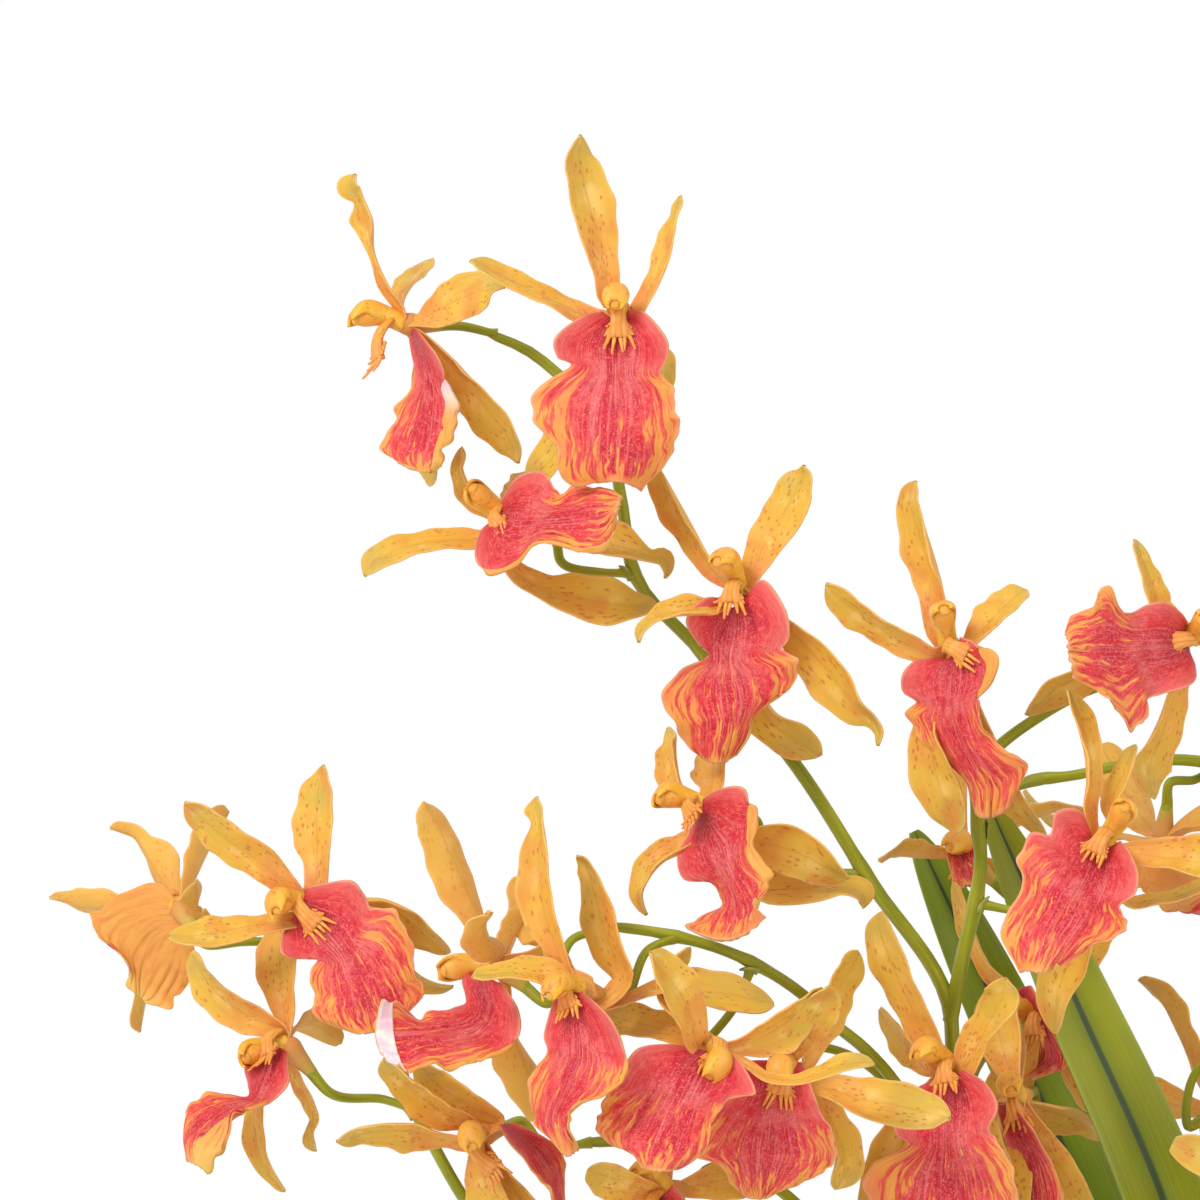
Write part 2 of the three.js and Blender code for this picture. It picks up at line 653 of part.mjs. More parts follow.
// Five tepals, the column, its crest and the sleeve behind, which ends at the stalk
function rosette(bloom, number, grow = 0) {
  const heart = vec(bloom.heart);
  const axes = axesOf(bloom);
  const tepals = tepalsOf(bloom, number, axes).map((shape, j) =>
    tepal(heart, shape, axes.out, TEPAL_WIDTHS[j], number, j, grow),
  );
  const sleeveRing = (distance, radius) =>
    ringAt(heart.clone().addScaledVector(axes.out, distance), axes.right, axes.up, radius + grow, 5);
  const sleeve = loft([
    sleeveRing(SLEEVE_FRONT + grow, SLEEVE_RADII[0]),
    sleeveRing(-SLEEVE_LENGTH - grow, SLEEVE_RADII[1]),
  ]);
  return joined([sleeve, column(heart, axes, grow), crest(heart, axes, grow), ...tepals]);
}

// A point on the lip's mid sheet: u runs from its root to its tip and v across it
function lipPoint(bloom, number, axes, u, v) {
  const half = alongTable(LIP_OUTLINE, u) * (bloom.slim ?? 1);
  const lobes = Math.exp(-(((u - 0.17) / 0.1) ** 2));
  const apron = smooth((u - 0.3) / 0.35);
  const ruffle = Math.sin(9 * u * (v < 0 ? 1 : 1.25) + 6 * draw(number, 9, v < 0 ? 1 : 2));
  const forward =
    LIP_FORWARD +
    LIP_BELLY * Math.sin(Math.PI * u) -
    LIP_TIP_FALL * Math.max(0, u - 0.75) +
    bloom.reach * u * u +
    v * v * (LIP_LOBE_CURL * lobes - LIP_APRON_FALL * apron) +
    LIP_RUFFLE * apron * ruffle * Math.abs(v) ** 3;
  return vec(bloom.heart)
    .addScaledVector(axes.up, LIP_RISE - LIP_LENGTH * u + LIP_SHOULDER * v * v * Math.max(0, 1 - u / 0.2))
    .addScaledVector(axes.right, half * v * (1 - 0.1 * lobes * v * v))
    .addScaledVector(axes.out, forward);
}

function lip(bloom, number) {
  const axes = axesOf({ looks: bloom.lipLooks ?? bloom.looks, hangs: bloom.hangs });
  const pointAt = (u, v) => lipPoint(bloom, number, axes, u, v);
  const step = 0.01;
  const faces = [1, -1].map((sign) =>
    LIP_ROWS.map((u) =>
      LIP_COLUMNS.map((v) => {
        const here = pointAt(u, v);
        const alongU = pointAt(u + step, v).sub(pointAt(u - step, v));
        const alongV = pointAt(u, v + step).sub(pointAt(u, v - step));
        const normal = new THREE.Vector3().crossVectors(alongV, alongU).normalize();
        if (normal.dot(axes.out) < 0) normal.negate();
        return here.addScaledVector(normal, (sign * LIP_THICKNESS) / 2);
      }),
    ),
  );
  const rows = LIP_ROWS.length;
  const columns = LIP_COLUMNS.length;
  const at = (side, r, c) => side * rows * columns + r * columns + c;
  const triangles = [];
  for (let r = 0; r + 1 < rows; r++) {
    for (let c = 0; c + 1 < columns; c++) {
      const corners = (side) => [[r, c], [r + 1, c], [r + 1, c + 1], [r, c + 1]].map((rc) => at(side, ...rc));
      const [a, b, d, e] = corners(0);
      const [p, q, s, t] = corners(1);
      triangles.push([a, b, d], [a, d, e], [p, s, q], [p, t, s]);
    }
  }
  const rim = [];
  for (let c = 0; c + 1 < columns; c++) rim.push([0, c]);
  for (let r = 0; r + 1 < rows; r++) rim.push([r, columns - 1]);
  for (let c = columns - 1; c > 0; c--) rim.push([rows - 1, c]);
  for (let r = rows - 1; r > 0; r--) rim.push([r, 0]);
  rim.forEach(([r, c], i) => {
    const [r2, c2] = rim[(i + 1) % rim.length];
    const [front, nextFront, back, nextBack] = [at(0, r, c), at(0, r2, c2), at(1, r, c), at(1, r2, c2)];
    triangles.push([front, nextFront, nextBack], [front, nextBack, back]);
  });
  const sheet = solidFrom(faces.flat(2), triangles);
  const room = rosette(bloom, number, GAP);
  return sheet.intersect(room).isEmpty() ? sheet : largestBody(sheet.subtract(room));
}

// The stalk that joins a bloom's sleeve to its stem
function pedicel(bloom, route, gap) {
  const { out } = axesOf(bloom);
  const end = vec(bloom.heart).addScaledVector(out, -SLEEVE_LENGTH - gap);
  const before = vec(bloom.heart).addScaledVector(out, -SLEEVE_LENGTH - STALK_RUN_IN);
  const points = [...route, before.toArray(), end.toArray()];
  return stalk(points, (t) => mix(...STALK_RADII, t), 4);
}

function sprayStems(spray, grow = 0) {
  return spray.stems.map(({ route, radii }) =>
    stalk(route, (t) => mix(radii[0], radii[1], t) + grow, 5),
  );
}

// A strap leaf with a sharp groove down the middle of its face
function leaf({ route, looks }, grow = 0) {
  const curve = new THREE.CatmullRomCurve3(route.map(vec), false, "centripetal");
  const rings = [];
  for (let i = 0; i <= LEAF_STEPS; i++) {
    const u = i / LEAF_STEPS;
    const along = curve.getTangentAt(u);
    const face = squareTo(vec(looks), along);
    const side = new THREE.Vector3().crossVectors(face, along);
    const end = Math.sqrt(1 - Math.max(0, (u - 0.7) / 0.305) ** 2.2);
    const half = (LEAF_WIDTH / 2) * (0.62 + 0.38 * smooth(u / 0.45)) * end + grow;
    const fold = LEAF_FOLD * half;
    const middle = curve.getPointAt(u);
    const thick = LEAF_THICKNESS / 2 + grow;
    rings.push([
      middle.clone().addScaledVector(side, -half).addScaledVector(face, fold),
      middle.clone().addScaledVector(face, thick),
      middle.clone().addScaledVector(side, half).addScaledVector(face, fold),
      middle.clone().addScaledVector(face, -thick),
    ]);
  }
  return loft(rings);
}

// The pot: a tapered bowl with a rolled rim and a flat foot
function pot() {
  const inner = POT_MOUTH_RADIUS - POT_WALL;
  const profile = [
    [0, 0],
    [POT_FOOT_RADIUS - 2, 0],
    [POT_FOOT_RADIUS, 2],
    [POT_WAIST.radius, POT_WAIST.height],
    [POT_SHOULDER.radius, POT_SHOULDER.height],
    [POT_MOUTH_RADIUS - 1.5, POT_HEIGHT - RIM_HEIGHT],
    [POT_MOUTH_RADIUS + 1, POT_HEIGHT - RIM_HEIGHT + 4],
    [POT_MOUTH_RADIUS + 1, POT_HEIGHT - 2],
    [POT_MOUTH_RADIUS - 1, POT_HEIGHT],
    [inner + 1, POT_HEIGHT],
    [inner, POT_HEIGHT - 2],
    [inner - 4, POT_SHOULDER.height],
    [POT_WAIST.radius - POT_WALL, POT_WAIST.height],
    [POT_FOOT_RADIUS - POT_WALL, POT_FLOOR],
    [0, POT_FLOOR],
  ].map(([r, z]) => new THREE.Vector2(r, z));
  const geometry = new THREE.LatheGeometry(profile, POT_SIDES);
  geometry.rotateX(Math.PI / 2);
  return upright(geometry);
}

// A lathe turned to stand along +Z, with its faces outwards
function upright(geometry) {
  const position = geometry.getAttribute("position");
  const keys = new Map();
  const kept = [];
  const place = Array.from({ length: position.count }, (_, i) => {
    const p = new THREE.Vector3().fromBufferAttribute(position, i);
    const key = p.toArray().map((x) => Math.round(x * 1000)).join();
    if (!keys.has(key)) keys.set(key, kept.push(p) - 1);
    return keys.get(key);
  });
  const triangles = [];
  for (let i = 0; i < geometry.index.count; i += 3) {
    const [a, b, c] = [0, 1, 2].map((k) => place[geometry.index.getX(i + k)]);
    if (a !== b && b !== c && a !== c) triangles.push([a, b, c]);
  }
  return solidFrom(kept, triangles);
}

// Bark that fills the pot, with rough chips on top and a plain hole for each stem and leaf
function barkFill(stemHoles) {
  const inner = POT_MOUTH_RADIUS - POT_WALL - GAP;
  const profile = [
    [0, POT_FLOOR + GAP],
    [POT_FOOT_RADIUS - POT_WALL - GAP, POT_FLOOR + GAP],
    [POT_WAIST.radius - POT_WALL - GAP, POT_WAIST.height],
    [inner - 4, POT_SHOULDER.height],
    [inner - 1.2, BARK_TOP - 4],
    [inner * 0.6, BARK_TOP + 1],
    [0, BARK_TOP + 3],
  ].map(([r, z]) => new THREE.Vector2(r, z));
  const geometry = new THREE.LatheGeometry(profile, POT_SIDES);
  geometry.rotateX(Math.PI / 2);
  const chips = Array.from({ length: BARK_CHIPS }, (_, i) => {
    const angle = i * radians(137.5);
    const radius = 52 * Math.sqrt((i + 0.6) / BARK_CHIPS);
    const chip = new THREE.BoxGeometry(...CHIP_SIZE.map((size) => size * mix(0.8, 1.2, draw(i, 1, 1))));
    chip.rotateX(mix(-0.4, 0.4, draw(i, 2, 1)));
    chip.rotateY(mix(-0.4, 0.4, draw(i, 3, 1)));
    chip.rotateZ(mix(0, Math.PI, draw(i, 4, 1)));
    chip.translate(radius * Math.cos(angle), radius * Math.sin(angle), BARK_TOP + 1.5);
    return solidOf(chip);
  });
  return largestBody(joined([upright(geometry), ...chips]).subtract(joined(stemHoles)));
}

// The plant in its pot
const orchid = new THREE.Group();
orchid.name = "potted_dendrobium_orchid";
const names = Object.keys(BLOOMS);

for (const [letter, spray] of Object.entries(SPRAYS)) {
  const parts = sprayStems(spray);
  for (const [name, route] of Object.entries(spray.stalks)) {
    const bloom = BLOOMS[name];
    const number = names.indexOf(name);
    parts.push(pedicel(bloom, route, spray.whole ? -1 : GAP));
    if (spray.whole) parts.push(rosette(bloom, number));
    else orchid.add(meshOf(`tepals_${name}`, rosette(bloom, number), amber));
    orchid.add(meshOf(`lip_${name}`, lip(bloom, number), raspberry));
  }
  const material = spray.whole ? amber : stemGreen;
  orchid.add(meshOf(`${spray.whole ? "spray" : "stem"}_${letter}`, joined(parts), material));
}

for (const [name, shape] of Object.entries(LEAVES)) {
  orchid.add(meshOf(name, leaf(shape), leafGreen));
}

const holes = [
  ...Object.values(SPRAYS).map((spray) => joined(sprayStems(spray, GAP))),
  ...Object.values(LEAVES).map((shape) => leaf(shape, GAP)),
];
orchid.add(meshOf("pot", pot(), stoneware));
orchid.add(meshOf("bark_fill", barkFill(holes), bark));

export default orchid;
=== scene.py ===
"""The looks of a potted orchid in flower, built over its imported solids.

Lengths in the tables are millimetres in the part's frame: X to the right of someone who looks at
the blooms, Y away from them and Z up, from the centre of the pot's foot."""

import math

import bpy
import numpy as np
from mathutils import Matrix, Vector


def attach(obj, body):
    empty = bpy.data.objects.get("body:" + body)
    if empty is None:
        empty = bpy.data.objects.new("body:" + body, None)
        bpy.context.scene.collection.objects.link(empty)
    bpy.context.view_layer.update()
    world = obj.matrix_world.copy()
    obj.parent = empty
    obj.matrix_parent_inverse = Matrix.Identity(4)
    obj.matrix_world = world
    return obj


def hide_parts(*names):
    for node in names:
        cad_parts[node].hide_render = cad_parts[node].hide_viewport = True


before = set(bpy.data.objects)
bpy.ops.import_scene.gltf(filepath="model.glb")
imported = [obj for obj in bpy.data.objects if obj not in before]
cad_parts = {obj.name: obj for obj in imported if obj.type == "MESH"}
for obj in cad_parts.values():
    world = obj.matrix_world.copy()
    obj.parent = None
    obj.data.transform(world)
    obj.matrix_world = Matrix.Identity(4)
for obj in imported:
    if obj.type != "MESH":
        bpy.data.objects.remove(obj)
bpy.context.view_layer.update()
MM = 0.001

# Driving sizes
POT_HEIGHT = 122
POT_MOUTH_RADIUS = 72
POT_FOOT_RADIUS = 51
POT_WALL = 5
POT_FLOOR = 9
POT_BENDS = (28, 72)  # heights where the wall changes its slope
BARK_TOP = 110
BARK_GAP = 0.4
CHIPS_RADIUS = 62
TEPAL_WIDTHS = (12.4, 11.4, 11.4, 12.4, 12.4)
TEPAL_LENGTHS = (42, 40, 40, 44, 44)
TEPAL_SPREADS = (0, -62, 62, -143, 143)  # degrees round the face, from its top
TEPAL_SWEEPS = (-8, -4, -4, -24, -24)  # degrees forward of the face
TEPAL_THICKNESS = 1.1
LIP_LENGTH = 45.5
LIP_THICKNESS = 0.85
EDGE_THICKNESS = 0.4
COLUMN_LENGTH = 13.5
CREST_LENGTH = 12
SLEEVE_LENGTH = 10
LEAF_WIDTH = 21.5
LEAF_THICKNESS = 2.2
STEM_SLIMMING = 0.9

# Points along and across each kind of blade, along a stem and a stalk, and round the pot
TEPAL_GRID = (40, 13)
LIP_GRID = (63, 51)
LEAF_GRID = (90, 21)
STEM_POINTS = 120
STALK_POINTS = 36
POT_SIDES = 112
BARK_SIDES = 64

# Half width of a lip at shares of its length: side lobes, waist, then the broad apron
LIP_STATIONS = (0, 0.1, 0.22, 0.36, 0.5, 0.65, 0.8, 0.92, 1)
LIP_HALF = (4.5, 11.5, 14.4, 12, 16.5, 18, 16, 12.2, 7)
LIP_ROWS = (0, 0.08, 0.18, 0.28, 0.38, 0.5, 0.62, 0.76, 0.9, 1)

# Each bloom has the place of its heart, the way it looks and the way its lip hangs, the way the
# lip's face looks where that differs, how far the lip's end reaches forward, how slim the lip is
# and how deep its ribs and waves are. "column" and "crest" are their tips, right and up from the
# heart. Tepals run top, left, right, lower left, lower right. A tepal is its tip's depth and
# places along it, each right, up and how wide it looks there, or else its tip, how far its middle
# sways to the left and the degrees that its face is turned. Rows of "lip" are its left edge,
# middle and right edge, right and up from the heart, at the shares LIP_ROWS. "roll" is an edge
# that folds over the lip's face: its side, the share across where it turns, how far it comes back,
# from where to where along the lip, and how pale it is. "tip" is the share along where the lip's
# end folds over, and how far it comes back. "shallow" flattens the lip's depth. A bloom with no
# tepals of its own takes them from the spreads above.
BLOOMS = {
    "a1": {
        "heart": (-199.5, -6, 539.5), "looks": (-0.93, -0.35, 0.12), "hangs": (0.15, -0.42, -0.9),
        "lip_looks": (-0.85, -0.5, 0), "reach": 1, "slim": 0.85, "column": (-13.3, 2.5),
        "crest": (-7.5, -14), "roll": (1, 0.72, 0.42, 0.3, 1, 1),
        "tepals": [
            (-6, ((0, 2.5, 2.2), (-4.2, 9.2, 2.2), (-7.8, 18, 1.5), (-9, 26.5, 5.2), (-10.5, 31, 2.5),
                (-12.8, 35.2, 4.8), (-12.2, 37.5, 1.5))),
            (34, ((-0.8, 5, 2), (0, 8.5, 4.2), (2.2, 12.2, 5), (4.5, 15, 4.2), (5.5, 16.5, 1.8))),
            (-12, ((3, 0.5, 2.5), (7.5, 2.5, 7.5), (13.2, 5.5, 10.5), (19, 8, 10.5), (23.2, 9.5, 6),
                (25.5, 9.2, 1.5))),
            (14, ((3.2, -3.2, 2), (5.8, -19.5, 5), (7, -33.2, 5.5), (6.8, -38.2, 5), (6.2, -40.5, 2.5))),
            (-5, ((3.2, -2, 2.5), (11.2, -9, 4), (16, -15.2, 7.5), (21.5, -21.5, 8), (26, -27.5, 7.5),
                (28.5, -32.5, 4.5), (28.8, -35, 1.2))),
        ],
        "lip": [
            (1.5, -1, 2.2, -1.2, 3.2, -1), (1.5, -3.2, 3.5, -3.8, 5.5, -4),
            (2, -7, 5.2, -7.5, 8.5, -8), (2.8, -10.8, 6.5, -11.5, 10.2, -11.5),
            (2.8, -14.5, 7, -15.5, 11.8, -15.8), (0.5, -18.8, 6.5, -20, 13, -20.5),
            (-3, -23, 5.5, -24.5, 13.2, -25.5), (-6, -28, 4, -30, 12.8, -30.5),
            (-4, -32.8, 3, -34.5, 10.5, -34.5), (0, -35.2, 4, -37.2, 7.5, -37.2),
        ],
    },
    "a2": {
        "heart": (-145.5, -44, 543), "looks": (0, -1, 0.06), "hangs": (-0.06, -0.12, -1), "reach": 1,
        "column": (-0.8, 2.3), "crest": (0.3, -11.5),
        "tepals": [
            (-2, ((-1.5, 0.8, 4), (-3, 9, 6.5), (-4.8, 15.8, 9), (-7.2, 24.5, 10.2), (-9, 32, 9.5),
                (-10.2, 37.5, 7.5), (-9.8, 40.8, 4), (-9.2, 42.8, 1))),
            (4, ((-1.5, -3, 4.5), (-9.5, -1.8, 5.2), (-17.5, 2.2, 4.8), (-25.8, 6, 4.5),
                (-32, 9.2, 4.5), (-35.5, 11.2, 3), (-36.8, 11.8, 1))),
            (10, ((3.5, -2.5, 3), (6.8, 2, 3.8), (10.5, 9, 4), (12.2, 14.5, 4.2), (12.8, 18.5, 3.5),
                (14.2, 23, 1.8), (15.2, 26, 2.5), (15.5, 28, 1.2))),
            (16, ((-2, -5.5, 2.5), (-7, -18, 5.5), (-11.5, -30.5, 7.5), (-17, -38.5, 8.5),
                (-21, -43, 5), (-22.2, -44.8, 1.5))),
            (18, ((1.8, -5.5, 2.5), (6.8, -10.5, 5.5), (10.5, -15, 5.5), (11.8, -19.2, 3),
                (11.5, -21, 1))),
        ],
        "lip": [
            (-3, -1, -0.5, -2.5, 2, -1), (-8.2, -2, -0.5, -5, 6, -1),
            (-15.5, -7.5, -0.8, -8.5, 11.8, -7.5), (-15.2, -12.5, -1, -12.5, 12.5, -12),
            (-12, -14.5, -1, -16.5, 10.8, -16), (-20.5, -21, -1.2, -21.5, 13.5, -20),
            (-21.5, -27.5, -1.5, -27, 14.5, -26), (-15.8, -34, -2.2, -34.5, 15, -32),
            (-14.5, -41.5, -2.5, -40.5, 11.5, -39), (-10.5, -45.2, -1.5, -43.5, 5.8, -45.8),
        ],
    },
    "a3": {
        "heart": (-172.5, -21, 491), "looks": (-0.75, -0.5, 0.4), "hangs": (0.6, -0.8, -0.06),
        "reach": 0, "slim": 0.78, "column": (-11, 7.5), "crest": (-2.5, -5.5),
        "roll": (-1, 0.88, 0.12, 0.2, 0.95, 0),
        "tepals": [
            (8, ((-2.5, 0.2, 2.5), (-8.8, 4, 3.5), (-11.8, 8.5, 3.8), (-12.8, 12, 3.2), (-12.2, 15, 3),
                (-12.5, 17.2, 1))),
            (-3, ((-1.2, -3.5, 3.5), (-7.5, -6.2, 4.5), (-15, -6.2, 5), (-22.5, -7.2, 6),
                (-29.2, -9.2, 6.5), (-34, -12.2, 5), (-36.5, -14.8, 2))),
            (8, 32, 15, 0, 0),
            (-1, ((-2.5, -7.2, 3), (0.8, -14, 5), (8.8, -19, 7.5), (17.5, -21, 10.5), (25, -22, 12),
                (32, -23, 6.5), (37.2, -22.8, 1.5))),
            (-6, ((7.5, -3.5, 3), (18.8, -6, 7.5), (25.5, -7.2, 9.5), (31.2, -9.2, 6),
                (35.2, -10.5, 3), (38.2, -11, 4), (39.2, -13.5, 2.5), (39, -15.5, 1))),
        ],
        "lip": [
            (-5, -1.5, -3.5, 0.2, -2.8, 2.5), (-7.5, -4, -2.2, 0, -1, 5.8),
            (-8.8, -10, -0.5, -1, 2.5, 10.2), (-5.8, -14.8, 2.2, -1.8, 8.2, 11),
            (1, -12.8, 5.5, -1.8, 11, 7.2), (6.8, -7.8, 9.5, -1.2, 13, 5.2),
            (12.8, -7.8, 14.5, -0.5, 17.5, 6.5), (18.5, -9.2, 19.5, 0.5, 22.5, 7.2),
            (23.5, -6.2, 24, 1.2, 26, 6), (25.8, -0.5, 27.2, 2.5, 27.5, 4.5),
        ],
    },
    "a4": {
        "heart": (-115.5, -36, 473.5), "looks": (-0.2, -0.9, 0.35), "hangs": (-0.2, 0, -1),
        "lip_looks": (0.05, -1, 0.1), "reach": 1, "column": (-5, 8), "crest": (-2.5, -6.8),
        "roll": (1, 0.9, 0.12, 0.6, 1, 0),
        "tepals": [
            (24, ((-3.2, 1.5, 2.5), (-7.5, 6, 4), (-12, 14, 4.8), (-16.5, 22, 5.2), (-20.2, 28.5, 4.2),
                (-22.5, 33.5, 3.5), (-23.2, 36.5, 1.5))),
            (-20, ((-5.8, -6, 3), (-11.5, -6.2, 5), (-17.5, -7, 4.5), (-21.5, -8.8, 2.5),
                (-24.2, -11.5, 2), (-25, -13.8, 0.8))),
            (-4, ((1.8, -1, 2.5), (3.5, 3.5, 5.5), (7.5, 11.5, 9), (11.8, 18.5, 10.5), (15, 24.5, 8.5),
                (16.5, 28.5, 4), (16.2, 30, 1))),
            (12, ((1.8, -13.5, 3), (4.2, -26, 6.5), (8.5, -34, 9), (13.8, -38, 10), (18, -40.5, 7),
                (20.8, -42.5, 1.5))),
            (-2, ((6.8, -6, 3), (13.5, -11.5, 7), (19.2, -17.2, 9.5), (25, -24, 9.5), (30, -30.5, 6.5),
                (33.8, -33.5, 3.5), (35.5, -36.5, 2.5), (34.8, -39.8, 1))),
        ],
        "lip": [
            (-4, -3, -0.8, -5, 3, -1), (-8.5, -3, -1.2, -7, 6.5, 1.5),
            (-13, -8.5, -1.8, -10.5, 11.8, -6), (-10.2, -14.2, -2.5, -14.5, 12.8, -12.5),
            (-7.2, -17.2, -3, -18.5, 11.2, -16), (-14.5, -21, -2.8, -23, 15.2, -19),
            (-19, -28, -2.2, -27.5, 13, -25.5), (-15.5, -35, -2, -33.5, 5, -31.5),
            (-11.5, -41, -3.5, -40.5, 2.5, -38), (-8.5, -43.2, -4.5, -44.2, -0.2, -42),
        ],
    },
    "a5": {
        "heart": (-124, -38, 418.5), "looks": (-0.78, -0.55, 0.25), "hangs": (0.3, -0.6, -0.74),
        "reach": 1, "slim": 0.9, "column": (-12.5, 3), "crest": (-2.5, -4.5),
        "roll": (1, 0.8, 0.26, 0.2, 0.85, 0),
        "tepals": [
            (34, ((0.2, 0.2, 3), (2, 4, 5.5), (2.8, 9.5, 7.5), (3.5, 15.2, 7), (4, 19, 5),
                (4.5, 21, 1.5))),
            (0, ((-1, -6, 2.5), (-5.5, -10.5, 4.5), (-10.5, -13, 4.5), (-14.5, -17.5, 4),
                (-16.2, -22.2, 3.2), (-15.5, -25.2, 2), (-14.5, -27.2, 0.8))),
            (26, ((-2.2, 1.5, 2.5), (-6, 4.5, 4.5), (-7.8, 9.5, 6), (-8.2, 13.5, 5.2),
                (-8.2, 16.5, 3.2), (-9, 19.2, 1.5))),
            (-2, ((7.8, -7.2, 4), (13.2, -8.5, 9.5), (20.2, -10.5, 12.5), (27, -13, 10.5),
                (32.8, -16.5, 5.5), (36, -18, 1.5))),
            (8, ((6.5, -13.5, 3.5), (14, -20.8, 7.5), (21.5, -21, 9.5), (29, -20.5, 8.5),
                (35.2, -20.8, 5.5), (39.5, -22.5, 5), (40.2, -25.5, 2))),
        ],
        "lip": [
            (-2.5, -4, -1, -2.2, -1, 1.2), (-4, -7.5, 0.5, -4, 3.2, 4.2), (-6.8, -12.5, 2, -7.2, 9, 5),
            (-5, -18.2, 3.5, -11, 12.8, 0.8), (1.5, -18.8, 5, -15, 13.2, -4),
            (3.8, -21.8, 6.8, -19, 12.2, -10), (2.5, -24.8, 8.2, -22.5, 15, -15.5),
            (-1.8, -27.8, 8.8, -26, 15.8, -19.5), (-3.8, -30, 8.5, -29.5, 13.5, -23.5),
            (-1.2, -31, 7, -32.8, 15.2, -26.8),
        ],
    },
    "a6": {
        "heart": (-62.5, -38, 353.8), "looks": (-0.3, -0.9, 0.25), "hangs": (0.02, -0.1, -1),
        "reach": 3, "column": (-8.8, 4.5), "crest": (-1.5, -7),
        "tepals": [
            (2, ((-1.2, -2.6, 3.5), (-5, 4.9, 6.5), (-8.8, 13.2, 7.5), (-12.2, 20.4, 8.5),
                (-15.2, 27.4, 8.5), (-17.2, 33.7, 6), (-17.2, 38.2, 2.5))),
            (22, ((-5, -1.3, 2.5), (-9.5, 3.2, 5), (-13, 7.4, 5), (-15.8, 11.2, 3.5), (-17.2, 13.4, 1))),
            (-14, ((1.2, -3.8, 3.5), (5.5, 2.4, 7), (8.8, 8.7, 6), (11.2, 13.7, 8), (13, 17.9, 9),
                (13.5, 21.9, 3))),
            (-20, 8, -36, 0, 0),
            (12, -8, -34, 1, -30),
        ],
        "lip": [
            (-3, -3.3, 0, -2.3, 2, -0.3), (-8.8, -5.8, 0, -6.3, 8.2, -3.8),
            (-14.2, -11.8, -0.5, -10.8, 11.5, -9.8), (-13.5, -17.3, -0.8, -15.3, 9.5, -15.1),
            (-10.5, -19.8, -1, -20.1, 10.5, -17.3), (-19.5, -24.8, -1, -25.8, 14, -21.8),
            (-21, -31.8, -1, -31.8, 16, -29.3), (-18, -38.8, -1, -38.8, 17, -36.8),
            (-11.5, -43.3, -1, -43.8, 12.5, -42.3), (-6.2, -45.8, -1, -46.8, 6.2, -45.3),
        ],
    },
    "a7": {
        "heart": (-38, 16, 366), "looks": (-0.5, -0.75, 0.2), "hangs": (0.5, 0.1, -0.85), "reach": 2,
        "column": (-11, -2), "crest": (-3, -9),
        "tepals": [
            (-6, ((-2, 0.2, 2), (-9.5, 6.5, 3.5), (-14.5, 11.5, 3), (-18.2, 20.2, 3), (-20.8, 27.8, 3),
                (-22.5, 32.8, 1.5))),
            (10, 22, 20, 0, 20),
            (18, 16, 26, 0, 10),
            (-14, 10, -34, 0, 0),
            (24, 8, -30, 0, 0),
        ],
        "lip": [
            (-7, 5.2, -5.2, 6.5, -3.2, 7), (-6.5, 3.2, -3.8, 3.8, -2, 4.5),
            (-4.5, 1.5, -2, 1, -0.5, 1.5), (-3.2, -2, -0.5, -2, 1, -1.5),
            (-2, -5, 0.8, -4.8, 2.5, -4.5), (-0.8, -8.5, 2, -8, 4.2, -8), (0, -11.5, 3, -10.5, 6, -11),
            (-2, -14.5, 2.2, -13.5, 6.2, -13.5), (-6, -17, -0.8, -15.5, 5.5, -14.8),
            (-8.5, -20, -4.5, -18, 0.5, -16.5),
        ],
    },
    "a8": {
        "heart": (-45, -20, 345), "looks": (-0.3, -0.95, 0), "hangs": (0.42, -0.05, -0.9), "reach": 2,
        "column": (-3, 4), "crest": (0, -8),
        "tepals": [
            (-6, 14, 26, 0, 10),
            (-4, 26, 20, 0, 10),
            (26, ((-5, -0.5, 2), (1.2, -1.2, 3.5), (7.5, -3.2, 7), (14.5, -5.5, 7.5), (19.5, -8.8, 5),
                (22, -11.5, 1.5))),
            (-3, -8, -36, 0, 0),
            (18, 10, -34, 0, 0),
        ],
        "lip": [
            (-6, -1, -4.5, -1, -3, -1), (-5, -4.5, -2.5, -3.5, 0, -3.5), (-4, -8.5, -0.5, -7, 3, -7),
            (-3, -12.5, 1.5, -11, 5, -10.5), (-2.5, -16, 3, -15, 7.2, -14.5),
            (-2.5, -21, 4, -20, 9.5, -19.5), (-2.5, -26.5, 4.5, -25, 11, -25),
            (-0.5, -32, 5.5, -30.5, 12, -30.5), (2.5, -36, 7, -35.5, 11.5, -35),
            (5, -38, 7.5, -38.5, 10, -37.5),
        ],
    },
    "b1": {
        "heart": (-63, -40, 458.5), "looks": (-0.2, -0.88, 0.35), "hangs": (0.3, 0, -0.95),
        "lip_looks": (-0.45, -0.88, -0.1), "reach": 0, "slim": 0.85, "column": (-1.8, 10.8),
        "crest": (7, -3.4), "roll": (1, 0.7, 0.3, 0.05, 0.38, 0),
        "tepals": [
            (4, ((-2, 1.5, 3.5), (-2.8, 9.5, 6), (-3.8, 17.8, 6.5), (-6, 25.2, 6.5), (-8.2, 32, 5.5),
                (-9.2, 36.5, 5.2), (-8.8, 39.5, 4), (-8.2, 41.2, 1.2))),
            (-6, ((-3.2, -2.2, 4), (-10, 0.5, 6), (-17, 4.8, 6.5), (-23.2, 9, 6.5), (-28, 13, 5),
                (-30.5, 15.5, 2))),
            (4, ((1.8, -1.5, 2.5), (7.5, 2.5, 4.5), (11.8, 7.2, 6.5), (15.5, 10.8, 7), (18, 13, 5),
                (19.5, 14, 1.5))),
            (10, ((-0.8, -8.5, 3), (-4.5, -21, 6), (-3.2, -29.8, 10), (-1.2, -37.2, 10.5),
